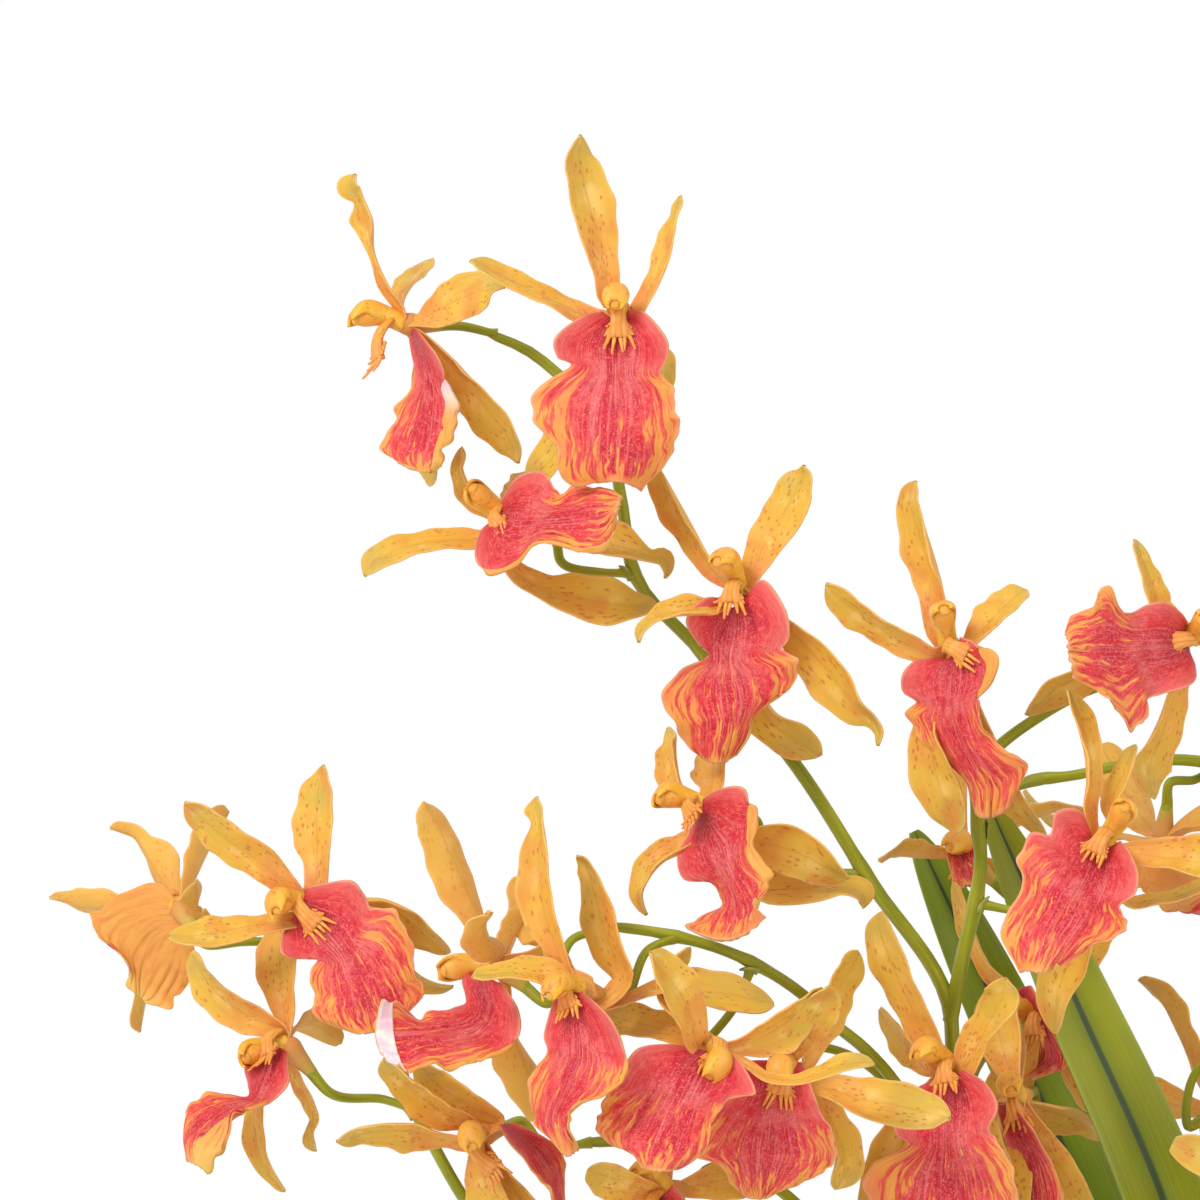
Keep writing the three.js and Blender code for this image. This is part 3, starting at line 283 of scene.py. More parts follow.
                (1.2, -43, 7.5), (2.2, -46.8, 1.5))),
            (12, ((4.2, -8.5, 2.5), (11.8, -26, 5), (16.8, -37.2, 6.5), (20.5, -42.2, 5),
                (23.8, -46.8, 3), (25, -49, 1))),
        ],
        "lip": [
            (-3, -2.5, 1, -2.5, 1.8, 2.5), (-7.5, -3, 1.2, -4, 6.8, 1),
            (-11.5, -6.8, 1.5, -6.8, 12, -2.5), (-11.5, -11.2, 1.2, -10.5, 10.8, -8.5),
            (-8, -14, 1, -14.5, 7.8, -12.8), (-11, -17, 1.8, -19, 7.8, -18),
            (-6, -22.5, 3.5, -24, 9, -22.2), (0.5, -29.5, 6.8, -30, 15, -26.5),
            (5, -34.8, 10, -36.5, 20.2, -30.5), (5.8, -41, 10, -43, 16, -39.8),
        ],
    },
    "b2": {
        "heart": (-4, -34, 460), "looks": (0.5, -0.84, 0.12), "hangs": (-0.74, -0.66, -0.14),
        "reach": 0, "column": (6, 6), "crest": (-7, -1),
        "tepals": [
            (36, -4, 8, 0, 10),
            (20, 10, 32, 0, 20),
            (4, ((0.2, -6.2, 2.5), (-3, -15, 5), (-4.8, -21.2, 7), (-7.2, -27.5, 8.5), (-9, -33, 9),
                (-8.5, -37, 5.5), (-7, -39.5, 1.2))),
            (10, ((0.2, 1.2, 2.5), (-6.5, 8.8, 5), (-8, 13, 5), (-9.8, 18.2, 4.5), (-11.2, 22.5, 3),
                (-11.8, 25, 1.2))),
            (6, ((-8.5, -3.8, 3), (-18.5, -6.2, 5), (-27.2, -9.5, 7), (-32.2, -12, 7), (-36, -15.5, 5),
                (-39.2, -18.8, 1.2))),
        ],
        "lip": [
            (1, 2.5, 1, -1.2, 2.5, -5), (-0.2, 6, -1, -1.5, 2.8, -9.5), (-5, 9.5, -4, -1.8, -0.5, -12),
            (-9.8, 8.8, -7.2, -2, -6, -13.5), (-14, 6.8, -11, -2.2, -10, -15.2),
            (-17.5, 8, -14.8, -2.5, -9.2, -19.5), (-20.5, 13.5, -19, -2.5, -13.2, -22.2),
            (-23.5, 8.5, -23, -2.5, -18, -17.5), (-27.8, 5.8, -27, -2.5, -23.5, -13),
            (-29.2, 1.5, -29.8, -2.5, -27.5, -9),
        ],
    },
    "b3": {
        "heart": (-24.5, -52, 410), "looks": (0.1, -0.75, 0.65), "hangs": (-0.46, -0.58, -0.67),
        "reach": 1, "column": (6.2, 10), "crest": (-4.5, -5.5),
        "tepals": [
            (10, ((2.5, 2.5, 2.5), (2.5, 10, 4), (5, 16.2, 4.5), (7, 21.2, 3.5), (7.8, 23.8, 1.2))),
            (4, ((-1.8, 1.2, 2.5), (-4.2, 7.5, 3), (-3.5, 15, 3.8), (-4, 22.5, 4.5), (-5.5, 28.8, 4.5),
                (-7.5, 34.2, 3.5), (-8.8, 37.5, 1))),
            (-8, ((3.2, -2.5, 3), (9.5, -3.5, 6.5), (17, -4.5, 8.5), (24.5, -5.5, 10), (32, -5.5, 8.5),
                (39, -4.5, 2))),
            (14, ((-1.8, -7.5, 3), (-4.2, -22.5, 9), (-7.8, -29.5, 12), (-10.8, -37.5, 8.5),
                (-11.5, -43.5, 5), (-11.8, -48.5, 1.2))),
            (22, ((2, -10, 2.5), (7, -15.8, 3), (13.2, -15.2, 3.2), (18.2, -14.5, 2.8), (24.5, -12, 3),
                (29.5, -9.5, 1.2))),
        ],
        "lip": [
            (-3, 2, -0.5, -1.5, 3.5, 0.5), (-6, 7.5, -1.5, -3.5, 5.8, -2), (-12.2, 7.5, -3, -6, 8, -8),
            (-13.8, 1.8, -4.5, -9, 7, -13.2), (-18.2, 2.2, -6.2, -12.2, 3.2, -15.8),
            (-22.2, -4, -8, -15.5, 5.2, -20), (-20.8, -11, -10, -19, 3, -23.8),
            (-25.5, -19.5, -12.5, -23, -3.5, -25.2), (-24.5, -26.8, -15, -28, -9.5, -28.5),
            (-21.2, -30.5, -17, -32.2, -13, -31),
        ],
    },
    "c1": {
        "heart": (-175.5, -58, 379.5), "looks": (-0.95, -0.25, 0), "hangs": (-0.64, -0.58, -0.45),
        "lip_looks": (-0.1, -0.5, 0.85), "reach": 0, "slim": 0.9, "column": (-14.5, -1.5),
        "crest": (-4.5, -13), "roll": (1, 0.93, 0.1, 0.3, 0.9, 0), "tip": (0.86, 0.1),
        "tepals": [
            (-4, ((-2, 4.2, 2.5), (-4.2, 9.2, 4.5), (-7.5, 16.8, 7.5), (-10.5, 23.5, 9.5),
                (-13.5, 30.5, 9.5), (-16, 36, 7), (-17.8, 38.5, 4.5), (-18.5, 40.2, 1.5))),
            (-20, ((0.5, 3, 3.5), (-3.2, 6.8, 6), (-3.8, 10, 5.5), (-2.5, 12.8, 2.5))),
            (30, ((11.8, 3, 5), (8, 10.5, 7), (6.5, 16.8, 6), (6.2, 21, 2))),
            (20, ((1.8, 3, 4), (3.5, 7, 5.5), (6, 10, 4.5), (8, 10.8, 1.8))),
            (8, ((1.8, -3.2, 2.5), (3, -17, 4), (6, -24.5, 8.5), (9, -31.5, 9.5), (11.8, -37, 6.5),
                (12.8, -39.5, 2))),
        ],
        "lip": [
            (-8, -1, -4, -2.5, 0.5, -4.5), (-8.8, -4, -3.5, -5.8, 2.5, -6.5),
            (-8, -7.8, -2.5, -10, 5.2, -10.8), (-8, -9.8, -3.5, -13.5, 5.8, -16),
            (-11.5, -11, -6.5, -16, 3.8, -20.2), (-15.5, -11.8, -11.2, -17, -3, -23.2),
            (-19.5, -11.8, -16, -17.5, -10.8, -23.2), (-22.5, -10.5, -20.8, -18, -17, -24.5),
            (-25.8, -9, -25.2, -18.5, -22, -27.2), (-28.2, -10.5, -29.8, -18.2, -25, -25.2),
        ],
    },
    "c2": {
        "heart": (-155, -78, 374), "looks": (-0.6, -0.75, -0.1), "hangs": (-0.06, -0.25, -1),
        "reach": 3, "slim": 0.9, "column": (-8, 0), "crest": (-3, -8),
        "roll": (1, 0.93, 0.08, 0.3, 1, 0),
        "tepals": [
            (2, ((-2, 2.2, 3), (-5.5, 9.8, 5.5), (-8, 17.2, 7.5), (-9.5, 26, 7.8), (-9.8, 32.2, 7.5),
                (-9.8, 37.2, 5.5), (-10, 41.5, 3), (-10.5, 44.5, 4.2), (-10.8, 47.2, 2))),
            (-8, ((2.5, -0.2, 3.5), (-6.2, 2.2, 7.5), (-13.8, 3.5, 5), (-20, 3.5, 3.8), (-25, 3, 3),
                (-26.5, 3, 1.2))),
            (24, ((2, -4, 2.5), (8.8, -4, 2.5), (16.2, -1.5, 3), (23.8, 0, 5.5), (31.2, -1.5, 8.5),
                (38.8, -2.5, 8.5), (45, -4, 6), (48.2, -4.5, 1.5))),
            (10, ((1.2, -0.2, 3), (-2.5, 4, 5.5), (-5, 9, 6), (-6.8, 13.5, 5), (-8.5, 17.2, 2))),
            (18, ((2.5, -4, 3.5), (11.2, 2.2, 5.5), (8, 9.8, 7.5), (5.5, 17.2, 8), (3.8, 23.5, 6.5),
                (2.5, 28, 4.5), (0.8, 31, 4), (-0.8, 32.2, 1.5))),
        ],
        "lip": [
            (-3.5, 0, -1.8, -0.2, 0, -0.5), (-6, -2.5, -1.2, -4, 3.5, -3),
            (-7.8, -7, -0.5, -8, 7.5, -7), (-8.8, -12, 0, -12.5, 10.2, -12.2),
            (-7.8, -16, 0, -17, 11.8, -18), (-10.8, -20, -1.5, -21.5, 9.2, -23.5),
            (-12.8, -25, -3.5, -26.5, 4, -27), (-13, -30, -5.5, -31.5, -1.8, -29.8),
            (-10, -34.5, -5, -35.5, -3, -33.5), (-4.5, -39.5, -2.8, -41.2, -1.8, -39),
        ],
    },
    "c3": {
        "heart": (-122, -70, 359.5), "looks": (0.05, -0.92, -0.3), "hangs": (-0.38, -0.5, -0.8),
        "lip_looks": (0.1, -1, 0.5), "reach": 1, "column": (0.5, -7), "crest": (-2, -9),
        "tepals": [
            (-14, ((-3, -0.8, 4), (-5.5, 6.8, 8), (-8.5, 13, 9.5), (-12, 18, 8), (-14.2, 21.8, 5.5),
                (-15.5, 23.5, 2))),
            (20, ((-3, -0.8, 3), (-10.5, 3, 6.5), (-18, 5, 8.5), (-25, 6.8, 7.5), (-28.5, 8.5, 2.5))),
            (4, ((0.8, 0, 2.5), (5.8, 0, 4.5), (12.5, 2.5, 8.5), (19, 6.8, 9), (23.5, 10.5, 6.5),
                (27, 14, 2))),
            (10, ((-13, 14.2, 3.5), (-12, 18, 5), (-9.5, 20.5, 4.5), (-7, 22.5, 4), (-5.5, 23.8, 1.5))),
            (-14, ((2, -0.8, 1.5), (8.2, -4.5, 2), (13.2, -7.8, 2.2), (19.5, -8.5, 2.5),
                (25.8, -7, 3.5), (32, -4.5, 4), (36.5, -3.8, 3), (39.8, -4.2, 1))),
        ],
        "lip": [
            (-5.5, -0.2, -1, -1, 2.5, -1), (-11, 0.5, -2.2, -3.5, 6.5, -3.5),
            (-18, 0, -3.8, -6.5, 10.5, -10.8), (-21.8, -4, -5.5, -10, 7.5, -12),
            (-24.2, -9, -7.2, -13.5, 4, -12.5), (-27.2, -13.5, -8.8, -17, 1.8, -15.2),
            (-28.8, -18, -10.5, -21, -0.8, -19.5), (-27.8, -22.8, -12, -25, -1.5, -24),
            (-21, -25, -13.5, -28.2, -4.5, -26.8), (-17.8, -28.5, -14, -30.2, -9, -29),
        ],
    },
    "c4": {
        "heart": (-103.5, -56, 355), "looks": (0.05, -0.92, -0.2), "hangs": (-0.1, -0.1, -1),
        "reach": 3, "column": (-2.5, -2.5), "crest": (-3, -12),
        "tepals": [
            (14, ((3.5, -1.2, 3.5), (6.5, 5, 6), (10, 12.5, 7), (13, 18.8, 8), (16, 23.5, 7),
                (18, 27.2, 2.5))),
            (11, -10, 20, 0, 20),
            (-14, ((3.5, -5, 3), (11, -7, 5.5), (18.5, -9.2, 9.5), (26, -10.2, 11), (33, -11.8, 10),
                (38, -13, 6.5), (40.2, -13.5, 1.5))),
            (-8, 22, -34, 0, 0),
            (14, ((6, -7.5, 3), (11.5, -16.2, 5.5), (14, -22.5, 8), (14, -28, 7), (12.5, -32, 2))),
        ],
        "lip": [
            (-9.5, 0.8, -2.8, 1.2, 3.5, 0.5), (-13, -1.5, -3, -2.5, 5, -3),
            (-14.2, -5.5, -3.5, -6.5, 6.8, -8), (-16, -9.5, -4, -10.2, 8.5, -12.5),
            (-18.8, -13, -4.5, -14, 10.5, -15.5), (-21.8, -18.5, -5, -18, 12, -20),
            (-23.5, -22.2, -5.2, -22, 11.5, -25), (-16.5, -25.2, -5.8, -26.5, 7, -28),
            (-13.8, -30, -6.5, -30.5, 1.5, -30.8), (-11, -32.5, -7, -33.8, -3, -32),
        ],
    },
    "d1": {
        "heart": (-224.5, -32, 394.5), "looks": (-0.5, -0.84, 0.1), "hangs": (0.52, -0.25, -0.8),
        "lip_looks": (-0.2, -0.97, 0), "reach": 1, "ribbing": 0.3, "column": (-7.5, -0.8),
        "crest": (6.5, -8.8),
        "tepals": [
            (8, ((2.5, 1.8, 5), (3.8, 8.5, 6.5), (4, 15, 9), (3.8, 22.5, 9.5), (4.2, 28, 8),
                (5, 31.8, 4), (5, 34, 1.5))),
            (-4, ((-0.5, 0.5, 3.5), (-5, 5, 6.5), (-11, 10.5, 9), (-17.5, 15, 8.5), (-23, 19.5, 8),
                (-27.2, 23.2, 5.5), (-29.2, 24.8, 2))),
            (14, ((7, -0.8, 2.5), (19.5, -0.8, 6.5), (25.8, -4, 8), (31.5, -9, 6.5),
                (36.5, -13.2, 2.5))),
            (-8, ((0.8, -3.2, 3), (-6.8, -5.5, 4.5), (-14.2, -6.5, 6), (-21.8, -8, 6.8),
                (-28, -8.8, 5.5), (-33.2, -8.5, 2))),
            (18, ((12, -9.5, 2.5), (24.5, -17, 5), (30.8, -21, 3.5), (34.5, -21.8, 2.5),
                (37.5, -21.8, 1))),
        ],
        "lip": [
            (-2.5, -4, -0.5, -0.8, -0.5, 3.2), (-4.8, -8.2, 2.5, -4, 6, 4.8),
            (-5.2, -12.5, 5.8, -7, 12.5, 5.5), (-1.5, -14, 8.5, -9.8, 15.8, 2),
            (3.8, -13.8, 11, -13, 17.5, -0.8), (2, -17.5, 13, -16.5, 24, -2.5),
            (3.2, -22.5, 15, -20.5, 27.2, -9), (2.5, -26.5, 16.5, -24.5, 28.5, -17.5),
            (6, -30, 18, -29, 30.2, -23.5), (12, -32.2, 19, -32.2, 25.5, -28.5),
        ],
    },
    "d2": {
        "heart": (-256, 2, 392.5), "looks": (-0.45, 0.85, 0.2), "hangs": (-0.22, 0.5, -0.8),
        "reach": -2, "slim": 0.9, "column": (-5, -3), "shallow": 0.25,
        "tepals": [
            (24, ((0.5, -1.2, 3), (-2.8, 4.2, 7), (-6.5, 10, 8), (-9, 14.2, 4.5), (-12, 18, 3.5),
                (-15.2, 19.2, 3), (-18, 19.8, 1.2))),
            (28, ((-1.5, -2, 3), (-11.5, -1.5, 4.5), (-21, -0.2, 5), (-26, 0.2, 5), (-29.8, 1.5, 3),
                (-33.5, 2, 1))),
            (-8, ((5, -3.8, 5), (4, 0.5, 2.2), (4, 3.5, 5.5), (3.5, 6.2, 3.5))),
            (30, ((-2.8, -5, 2.5), (-7.8, -18.8, 3.5), (-10.5, -25, 3.2), (-11.2, -29.5, 3.2),
                (-11.2, -32, 1.5))),
            (10, 26, 24, 0, 0),
        ],
        "lip": [
            (3, -7.5, 2, -3.8, 0.5, -0.5), (3.5, -10.5, 0, -5, -2.8, 4.2),
            (4.5, -13, -2.5, -6, -7, 6.2), (5.2, -15.5, -4.8, -7.5, -12.8, 4.2),
            (4.8, -17.5, -6.5, -9.5, -18, 1.5), (3.2, -19.5, -8, -12, -21.5, -3),
            (1, -21.2, -9.2, -14.5, -21, -7), (-2, -23.2, -10, -17.2, -16, -10.5),
            (-6, -24.5, -10.5, -20, -13, -15.5), (-9, -24, -10.5, -22.5, -13, -21),
        ],
    },
    "d3": {
        "heart": (-228.5, -30, 359), "looks": (-0.75, -0.3, 0.6), "hangs": (-0.54, -0.6, -0.6),
        "lip_looks": (-0.5, -0.5, 0.6), "reach": 0, "slim": 0.85, "column": (-11.8, -3.5),
        "crest": (-6, -6), "roll": (1, 0.5, 0.9, 0.5, 1.2, 0),
        "tepals": [
            (12, ((0, 1, 2.5), (-0.2, 7.2, 5.5), (-1.2, 13.5, 8.5), (-1.5, 19.8, 10),
                (-1.2, 24.8, 9.5), (-0.5, 29.8, 7.5), (0.5, 34.8, 2.5))),
            (10, ((-0.2, 2.2, 3), (-6, 5.5, 6.5), (-12, 8.5, 8.5), (-17.5, 12.8, 8), (-21, 17.2, 5.5),
                (-23.8, 22.8, 1.5))),
            (10, 30, 4, 0, 0),
            (-6, ((-2.8, -6.5, 2), (-7, -14, 4), (-7.5, -20.2, 4.8), (-6.5, -26.5, 5), (-4, -32, 3.5),
                (-0.5, -36.8, 1))),
            (8, ((0.5, -2.8, 2), (3, -9.5, 3), (5.8, -15.2, 3.5), (7, -19.5, 2.2), (6, -22.2, 1.8),
                (6, -25.5, 2.8), (7, -27.2, 1.2))),
        ],
        "lip": [
            (-4, -0.8, -1.5, -0.5, 0, -1.5), (-9, -3, -3.5, -4, 0.5, -5.5),
            (-10.5, -6, -4.5, -7.5, 1, -8.8), (-9.5, -10, -5.5, -10.5, -0.5, -11.5),
            (-9.5, -13, -7, -13.5, -3.5, -13.8), (-14.5, -13.5, -11, -15, -8, -15.5),
            (-20, -13.5, -15, -17, -10.8, -17.5), (-24.5, -16, -19.5, -20.2, -14, -23),
            (-26, -21.5, -22.8, -24.5, -17.5, -27), (-25, -27.5, -22.5, -29.2, -20, -29.8),
        ],
    },
    "e1": {
        "heart": (-180, -36, 336), "looks": (-0.5, -0.75, -0.4), "hangs": (0.5, -0.2, -0.84),
        "lip_looks": (0.3, -0.9, 0.3), "reach": 2, "column": (-2.5, -0.5), "crest": (6.5, -12),
        "tepals": [
            (-10, ((-0.5, 1.5, 3), (-8.8, 6, 7), (-15, 11, 7.5), (-20, 15.2, 6), (-23.8, 19.5, 2))),
            (-8, ((-1.2, -1, 3.5), (-8.8, -0.5, 4), (-16.2, 1.5, 6.5), (-23.8, 1.8, 6.2),
                (-30.5, 1, 4.5), (-35.5, -1.2, 1))),
            (-4, ((5, 3.5, 3), (-1.2, 7, 7.5), (-7.5, 11, 8.5), (-12, 14.5, 7.5), (-15.5, 18.8, 2.5))),
            (6, ((0, -2.2, 3), (0.5, -8.5, 7.5), (3, -14.8, 9.5), (5.8, -21, 7.5), (7.5, -26.5, 1.5))),
            (24, 14, -30, 0, 0),
        ],
        "lip": [
            (4.5, 3.5, 5.5, 3.2, 7, 3.5), (5.8, 1.2, 8, 1, 10.5, 2.5), (8, -1.8, 11.5, -1.5, 15, 0.5),
            (10.5, -4.5, 14.5, -4, 18.2, -1.5), (12.5, -7.2, 16.5, -6.8, 20.2, -4),
            (14.8, -10.2, 18, -10, 21, -8), (16.8, -13.2, 19, -13.2, 21, -12),
            (18.2, -16.5, 19.8, -17, 21.5, -16.5), (19.5, -20, 20.5, -20.5, 21.5, -19.5),
            (20.2, -22.5, 21, -22.8, 21.8, -22),
        ],
    },
    "e2": {
        "heart": (-133, -38, 322), "looks": (-0.6, -0.75, -0.2), "hangs": (0.2, 0, -1), "reach": 3,
        "tepals": [
            (-20, -12, 7, 0, 0), (6, 20, 30, 0, 10), (28, 14, 6, 0, 10), (-8, 4, -38, 0, 0),
            (16, 12, -36, 0, 0),
        ],
    },
    "f1": {
        "heart": (-57, 28, 405), "looks": (-0.5, -0.8, 0.1), "hangs": (-0.2, -0.95, -0.25),
        "lip_looks": (-0.2, -0.3, 0.9), "reach": 0, "slim": 0.6, "column": (-4, 4), "crest": (-1, -6),
        "shallow": 0.4,
        "tepals": [
            (-22, -8, 2, 1, 0),
            (-4, 8, 38, 0, 20),
            (30, 8, 14, 0, 0),
            (6, ((-1.8, -6.2, 2), (-1, -15, 3), (2, -22.5, 3.5), (5.8, -28.8, 2), (7, -31.2, 0.8))),
            (26, 12, -12, 0, 0),
        ],
        "lip": [
            (-3, 5.5, 0, 4.5, 3.2, 5.5), (-3.8, 4.8, -0.2, 3.5, 3.5, 4.5),
            (-4.8, 3.8, -0.5, 2.5, 4, 3.5), (-5.2, 2.5, -0.8, 1.2, 4, 2), (-5.2, 1, -1, 0, 4, 0.5),
            (-5, -0.8, -0.8, -1.5, 4, -1), (-4.5, -2.5, -0.5, -3, 4, -2.5),
            (-3.2, -4.5, 0, -5, 4, -4.5), (-2, -6, 0.8, -6.5, 4, -6), (-1, -6.8, 1.2, -7.2, 4, -6.8),
        ],
    },
    "f2": {
        "heart": (-6, 62, 408), "looks": (0.25, -0.5, -0.8), "hangs": (0.4, -0.85, -0.3), "reach": 3,
    },
    "f3": {
        "heart": (70, 22, 452), "looks": (0.35, -0.9, 0.1), "hangs": (0.1, 0, -1), "reach": 3,
    },
    "f4": {
        "heart": (112, 64, 496), "looks": (0.5, 0.8, 0.1), "hangs": (0.1, 0, -1), "reach": 3,
    },
    "f5": {
        "heart": (152, 26, 522), "looks": (0.75, -0.6, 0.1), "hangs": (0.1, 0, -1), "reach": 3,
    },
    "g1": {
        "heart": (7, 32, 340), "looks": (0.5, 0.8, 0.1), "hangs": (0.4, 0, -0.9), "reach": 3,
    },
    "g2": {
        "heart": (28, -40, 318), "looks": (0.15, -0.95, 0), "hangs": (-0.1, 0, -1), "reach": 3,
    },
    "g3": {
        "heart": (84, -28, 350), "looks": (0.45, -0.85, 0), "hangs": (0, 0, -1), "reach": 3,
    },
    "g4": {
        "heart": (132, 4, 384), "looks": (0.8, -0.5, 0.05), "hangs": (0, 0, -1), "reach": 3,
    },
}

# Each spray's stems, from the bark up, with their radii at both ends, and each bloom's stalk from
# where it leaves a stem
SPRAYS = {
    "a": {
        "stems": [
            ((2.9, 1.5), [
                (-6, -4, 60), (-10, -5, 118), (-22, -8, 200), (-42, -11, 290), (-57, -13, 335),
                (-61, -14, 353), (-62, -14, 367), (-82.5, -14, 400), (-100, -14, 427.5), (-125, -12, 457.5),
                (-141, -10, 476), (-144.5, -8, 495), (-149, -5, 514), (-159.5, -2, 526), (-167.5, 0, 532.5),
                (-180, 1, 538),
            ]),
            ((2.2, 1.4), [
                (-62, -14, 364), (-58.5, -16, 382), (-55.5, -18, 395), (-54.5, -20, 405), (-55.5, -21, 417),
                (-55, -18, 428), (-49, -14, 434), (-37.5, -12, 442), (-20, -12, 451),
            ]),
        ],
        "stalks": {
            "a1": [(-176, 1, 537)],
            "a2": [(-147, -7, 506), (-148, -10, 525)],
            "a3": [(-142, -10, 476.8), (-150, -11, 477), (-160, -12, 480)],
            "a4": [(-122, -12, 455), (-117, -15, 462)],
            "a5": [(-83, -14, 401), (-95, -13, 402), (-108, -17, 405)],
            "a6": [(-60, -13, 340), (-60, -20, 345)],
            "a7": [(-57, -13, 335), (-57, 6, 345), (-49, 30, 358)],
            "a8": [(-47.6, -11.6, 307), (-41, -7, 320), (-40, -5, 335)],
            "b1": [(-55.5, -20, 412), (-54, -18, 432)],
            "b2": [(-25, -12, 449), (-14, -14, 455)],
            "b3": [(-55.8, -18, 394), (-44, -20, 392), (-33, -30, 396)],
        },
    },
    "c": {
        "stems": [
            ((2.7, 1.4), [
                (-16, -12, 60), (-20, -13, 118), (-32, -16, 190), (-50, -19, 265), (-65, -22, 318),
                (-74, -26, 346), (-84, -33, 358), (-92, -38, 364.5), (-100, -42, 372), (-115, -46, 381),
                (-135, -49, 387), (-150, -50, 389),
            ]),
        ],
        "stalks": {
            "c1": [(-146, -49.8, 388.4), (-156, -51, 386)],
            "c2": [(-131, -48.4, 385.8), (-138, -56, 383)],
            "c3": [(-112, -45, 379.3), (-115, -46, 371)],
            "c4": [(-73, -25.6, 343), (-84, -25, 354), (-96, -31, 358)],
        },
    },
    "d": {
        "stems": [
            ((2.7, 1.4), [
                (-26, -2, 60), (-32, -4, 118), (-62, -14, 185), (-105, -22, 240), (-150, -26, 282),
                (-184, -26, 320), (-192.5, -26, 335), (-197, -25, 344), (-201, -19, 356), (-208, -12, 370),
                (-218, -9, 380), (-232, -7, 385.5),
            ]),
        ],
        "stalks": {
            "d1": [(-214, -10.2, 376), (-218, -10, 386)],
            "d2": [(-228, -7.6, 384), (-240, -9, 384)],
            "d3": [(-196, -25.2, 342), (-204, -18, 344.5)],
        },
    },
    "e": {
        "stems": [
            ((2.6, 1.4), [
                (-4, -30, 60), (-8, -32, 118), (-30, -34, 180), (-60, -35, 240), (-85, -35, 290),
                (-102, -33, 320), (-120, -28, 330), (-140, -24, 334), (-156, -24, 334),
            ]),
        ],
        "stalks": {
            "e1": [(-152, -24, 334), (-164, -24, 333)],
            "e2": [(-118, -28.5, 329.5), (-124, -31, 327)],
        },
    },
    "f": {
        "stems": [
            ((2.9, 1.5), [
                (8, 12, 60), (9, 15, 118), (15, 28, 200), (24, 40, 290), (36, 46, 370),
                (54, 46, 430), (78, 44, 478), (106, 40, 508), (130, 36, 520),
            ]),
            ((2, 1.4), [
                (40, 46, 384), (30, 50, 412), (14, 53, 426), (0, 54, 429), (-17.5, 54, 427.5),
                (-30, 52, 425), (-42, 52, 424),
            ]),
        ],
        "stalks": {
            "f1": [(-36, 52, 424.5), (-46, 48, 421)],
            "f2": [(8, 53.5, 428), (2, 60, 424)],
            "f3": [(62, 45.5, 447), (66, 38, 456)],
            "f4": [(94, 42, 496), (104, 46, 500)],
            "f5": [(122, 37.5, 517), (134, 36, 522)],
        },
    },
    "g": {
        "stems": [
            ((2.6, 1.4), [
                (20, -8, 60), (24, -11, 118), (34, -14, 190), (42, -14, 250), (54, -12, 310),
                (74, -8, 350), (98, -4, 376), (116, 0, 386),
            ]),
            ((1.9, 1.4), [
                (41, -14, 240), (40, -10, 290), (34, 0, 330), (20, 6, 350), (2, 8, 358),
            ]),
        ],
        "stalks": {
            "g1": [(8, 7.3, 356), (1, 11, 351)],
            "g2": [(40, -11, 284), (33, -17, 304)],
            "g3": [(66, -9.5, 336), (74, -13, 346)],
            "g4": [(108, -2, 382), (117, 4, 387)],
        },
    },
}

# The way each leaf's grooved face looks, and its midline from the bark to its tip
LEAVES = {
    "leaf_front_left": ((0.35, -1, 0.1), [
        (16, -2, 60), (17, -3, 118), (17, -5, 200), (8, -8, 262),
        (-9, -10, 320), (-31, -10, 370), (-53, -9, 420),
    ]),
    "leaf_back_left": ((0.3, -1, 0.2), [
        (2, 26, 60), (1, 30, 118), (-1, 37, 200), (-11, 42, 270),
        (-28, 45, 320), (-49, 46, 366), (-70, 45, 411),
    ]),
    "leaf_right": ((-0.4, -0.6, 0.7), [
        (30, 6, 60), (34, 7, 118), (52, 10, 190), (82, 12, 250),
        (118, 12, 290), (156, 8, 306),
    ]),
    "leaf_back_right": ((-0.2, -1, 0.3), [
        (16, 30, 60), (19, 35, 118), (32, 48, 200), (52, 64, 280),
        (76, 80, 340), (102, 94, 380),
    ]),
    "leaf_front_right": ((-0.3, 0.5, 0.8), [
        (22, -30, 60), (25, -36, 118), (36, -56, 180), (52, -82, 228),
        (70, -112, 252),
    ]),
}

# How far each leaf's green is from olive, 0 to 1
LEAF_GREENS = {"leaf_front_left": 0.0, "leaf_back_left": 0.9}


# Vectors, blends and fixed draws
def unit(v):
    v = np.asarray(v, float)
    return v / np.linalg.norm(v, axis=-1, keepdims=True)


def square_to(direction, axis):
    """The part of a direction that is square to an axis, at unit length."""
    direction = np.asarray(direction, float)
    return unit(direction - np.sum(direction * axis, axis=-1, keepdims=True) * axis)


def smooth(t):
    t = np.clip(t, 0, 1)
    return t * t * (3 - 2 * t)


def bell(t, centre, width):
    return np.exp(-(((t - centre) / width) ** 2))


def draw(i, j, k):
    """A fixed draw from 0 to 1 for the k-th choice about the j-th tepal of the i-th bloom."""
    s = math.sin(i * 12.9898 + j * 78.233 + k * 37.719) * 43758.5453
    return s - math.floor(s)


def drawn(low, high, i, j, k):
    return low + (high - low) * draw(i, j, k)


def through(stations, values, u):
    """A smooth curve through values at the stations, read at u."""
    x = np.asarray(stations, float)
    y = np.asarray(values, float)
    slope = np.gradient(y, x, axis=0)
    i = np.clip(np.searchsorted(x, u, side="right") - 1, 0, len(x) - 2)
    step = x[i + 1] - x[i]
    t = (u - x[i]) / step
    if y.ndim > 1:
        t, step = t[:, None], step[:, None]
    level = y[i] + (y[i + 1] - y[i]) * t * t * (3 - 2 * t)
    return level + step * t * (1 - t) * (slope[i] * (1 - t) - slope[i + 1] * t)


